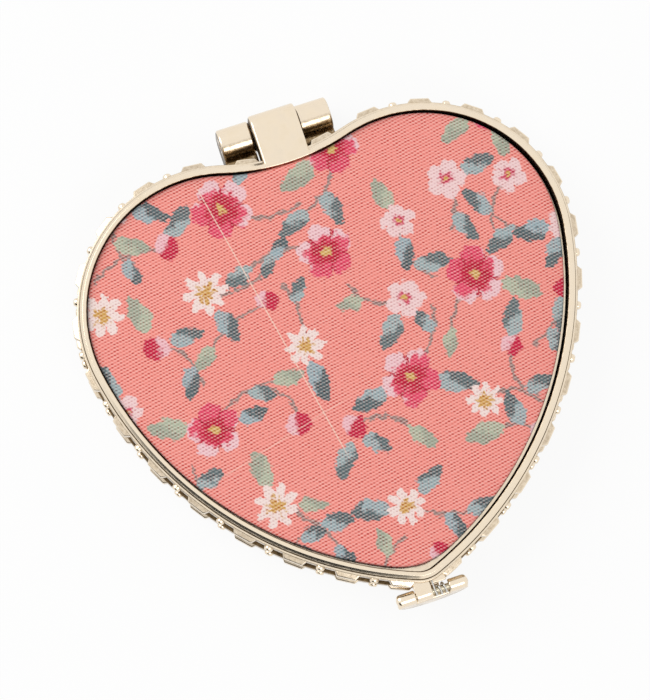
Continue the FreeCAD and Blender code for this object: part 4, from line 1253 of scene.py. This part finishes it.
def set_camera():
    """Camera almost straight above, turned so that the heart leans as in the photograph."""
    lean = Matrix.Rotation(math.radians(CAMERA_LEAN), 3, "Y")
    tilt = Matrix.Rotation(math.radians(CAMERA_TILT), 3, "X")
    turn = (lean @ tilt @ Matrix.Rotation(math.radians(CAMERA_TURN), 3, "Z")).transposed()
    lens = bpy.data.cameras.new("studio camera")
    lens.lens, lens.sensor_width = LENS, SENSOR_WIDTH
    lens.shift_x, lens.shift_y = LENS_SHIFT
    lens.clip_start, lens.clip_end = 0.01, 20.0
    camera = bpy.data.objects.new("studio camera", lens)
    stand = CAMERA_AIM + turn @ Vector((0, 0, CAMERA_DISTANCE))
    camera.matrix_world = Matrix.Translation(stand) @ turn.to_4x4()
    bpy.context.scene.collection.objects.link(camera)
    bpy.context.scene.camera = camera


def softbox(name, place, size, watts):
    lamp = bpy.data.lights.new(name, "AREA")
    lamp.shape, lamp.size, lamp.energy = "SQUARE", size, watts
    light = bpy.data.objects.new(name, lamp)
    light.location = place
    light.rotation_euler = (CAMERA_AIM - Vector(place)).to_track_quat("-Z", "Y").to_euler()
    bpy.context.scene.collection.objects.link(light)


def seen_directly(tree):
    """1 for rays that show the background: from the camera, off a gloss or through glass."""
    rays = tree.nodes.new("ShaderNodeLightPath")
    total = None
    for name in ("Is Camera Ray", "Is Glossy Ray", "Is Transmission Ray"):
        if total is None:
            total = rays.outputs[name]
            continue
        most = tree.nodes.new("ShaderNodeMath")
        most.operation = "MAXIMUM"
        tree.links.new(total, most.inputs[0])
        tree.links.new(rays.outputs[name], most.inputs[1])
        total = most.outputs[0]
    return total


def darken_front_left(tree, level):
    """Take the light out of one low patch of the world, front left, for the metal to mirror."""
    where = tree.nodes.new("ShaderNodeTexCoord").outputs["Generated"]
    facing = tree.nodes.new("ShaderNodeVectorMath")
    facing.operation = "DOT_PRODUCT"
    facing.inputs[1].default_value = DARK_PATCH_WAY
    tree.links.new(where, facing.inputs[0])
    fade = tree.nodes.new("ShaderNodeMapRange")
    fade.interpolation_type = "SMOOTHSTEP"
    start, end = DARK_PATCH_EDGE
    for name, value in (("From Min", start), ("From Max", end), ("To Min", 1.0), ("To Max", 0.03)):
        fade.inputs[name].default_value = value
    tree.links.new(facing.outputs["Value"], fade.inputs["Value"])
    product = tree.nodes.new("ShaderNodeMath")
    product.operation = "MULTIPLY"
    tree.links.new(level, product.inputs[0])
    tree.links.new(fade.outputs["Result"], product.inputs[1])
    return product.outputs[0]


def set_stage():
    scene = bpy.context.scene
    scene.view_settings.view_transform = "Standard"
    world = bpy.data.worlds.new("white studio")
    world.use_nodes = True
    scene.world = world
    background = world.node_tree.nodes["Background"]
    background.inputs["Color"].default_value = (1, 1, 1, 1)
    level = world.node_tree.nodes.new("ShaderNodeMath")
    level.operation = "MULTIPLY_ADD"
    level.inputs[1].default_value, level.inputs[2].default_value = 1 - WORLD_DIM, WORLD_DIM
    world.node_tree.links.new(seen_directly(world.node_tree), level.inputs[0])
    strength = darken_front_left(world.node_tree, level.outputs[0])
    world.node_tree.links.new(strength, background.inputs["Strength"])

    paper = Finish("white paper")
    nodes, links = paper.tree.nodes, paper.tree.links
    fibre = paper.noise(0.02, 2.0)
    paper.set(Base_Color=paper.mix(fibre, srgb(244, 244, 243), srgb(250, 250, 249)), Roughness=0.9)
    glow, both = nodes.new("ShaderNodeEmission"), nodes.new("ShaderNodeMixShader")
    glow.inputs["Strength"].default_value = 1.0
    share = nodes.new("ShaderNodeMath")
    share.operation = "MULTIPLY"
    share.inputs[1].default_value = FLOOR_GLOW
    links.new(seen_directly(paper.tree), share.inputs[0])
    links.new(share.outputs[0], both.inputs[0])
    links.new(paper.surface.outputs[0], both.inputs[1])
    links.new(glow.outputs[0], both.inputs[2])
    links.new(both.outputs[0], nodes["Material Output"].inputs["Surface"])
    reach = FLOOR_REACH
    corners = [(-reach, -reach, 0), (reach, -reach, 0), (reach, reach, 0), (-reach, reach, 0)]
    floor = new_piece("paper_floor", corners, [(0, 1, 2, 3)], paper.material)
    softbox("left softbox", (-0.45, 0.45, 0.55), 0.6, 3.4)
    softbox("front fill", (0.02, -0.56, 0.62), 0.4, 1.3)


def build():
    metal = champagne_plating()
    make_frames(metal)
    make_clasp(metal)
    glass = silvered_glass()
    for half, seed in zip(HALVES, (23, 41)):
        make_panel(half, printed_cotton(half + " printed cotton"), seed)
        make_mirror(half, glass)
    dress_inner_pieces()
    set_camera()
    set_stage()


build()
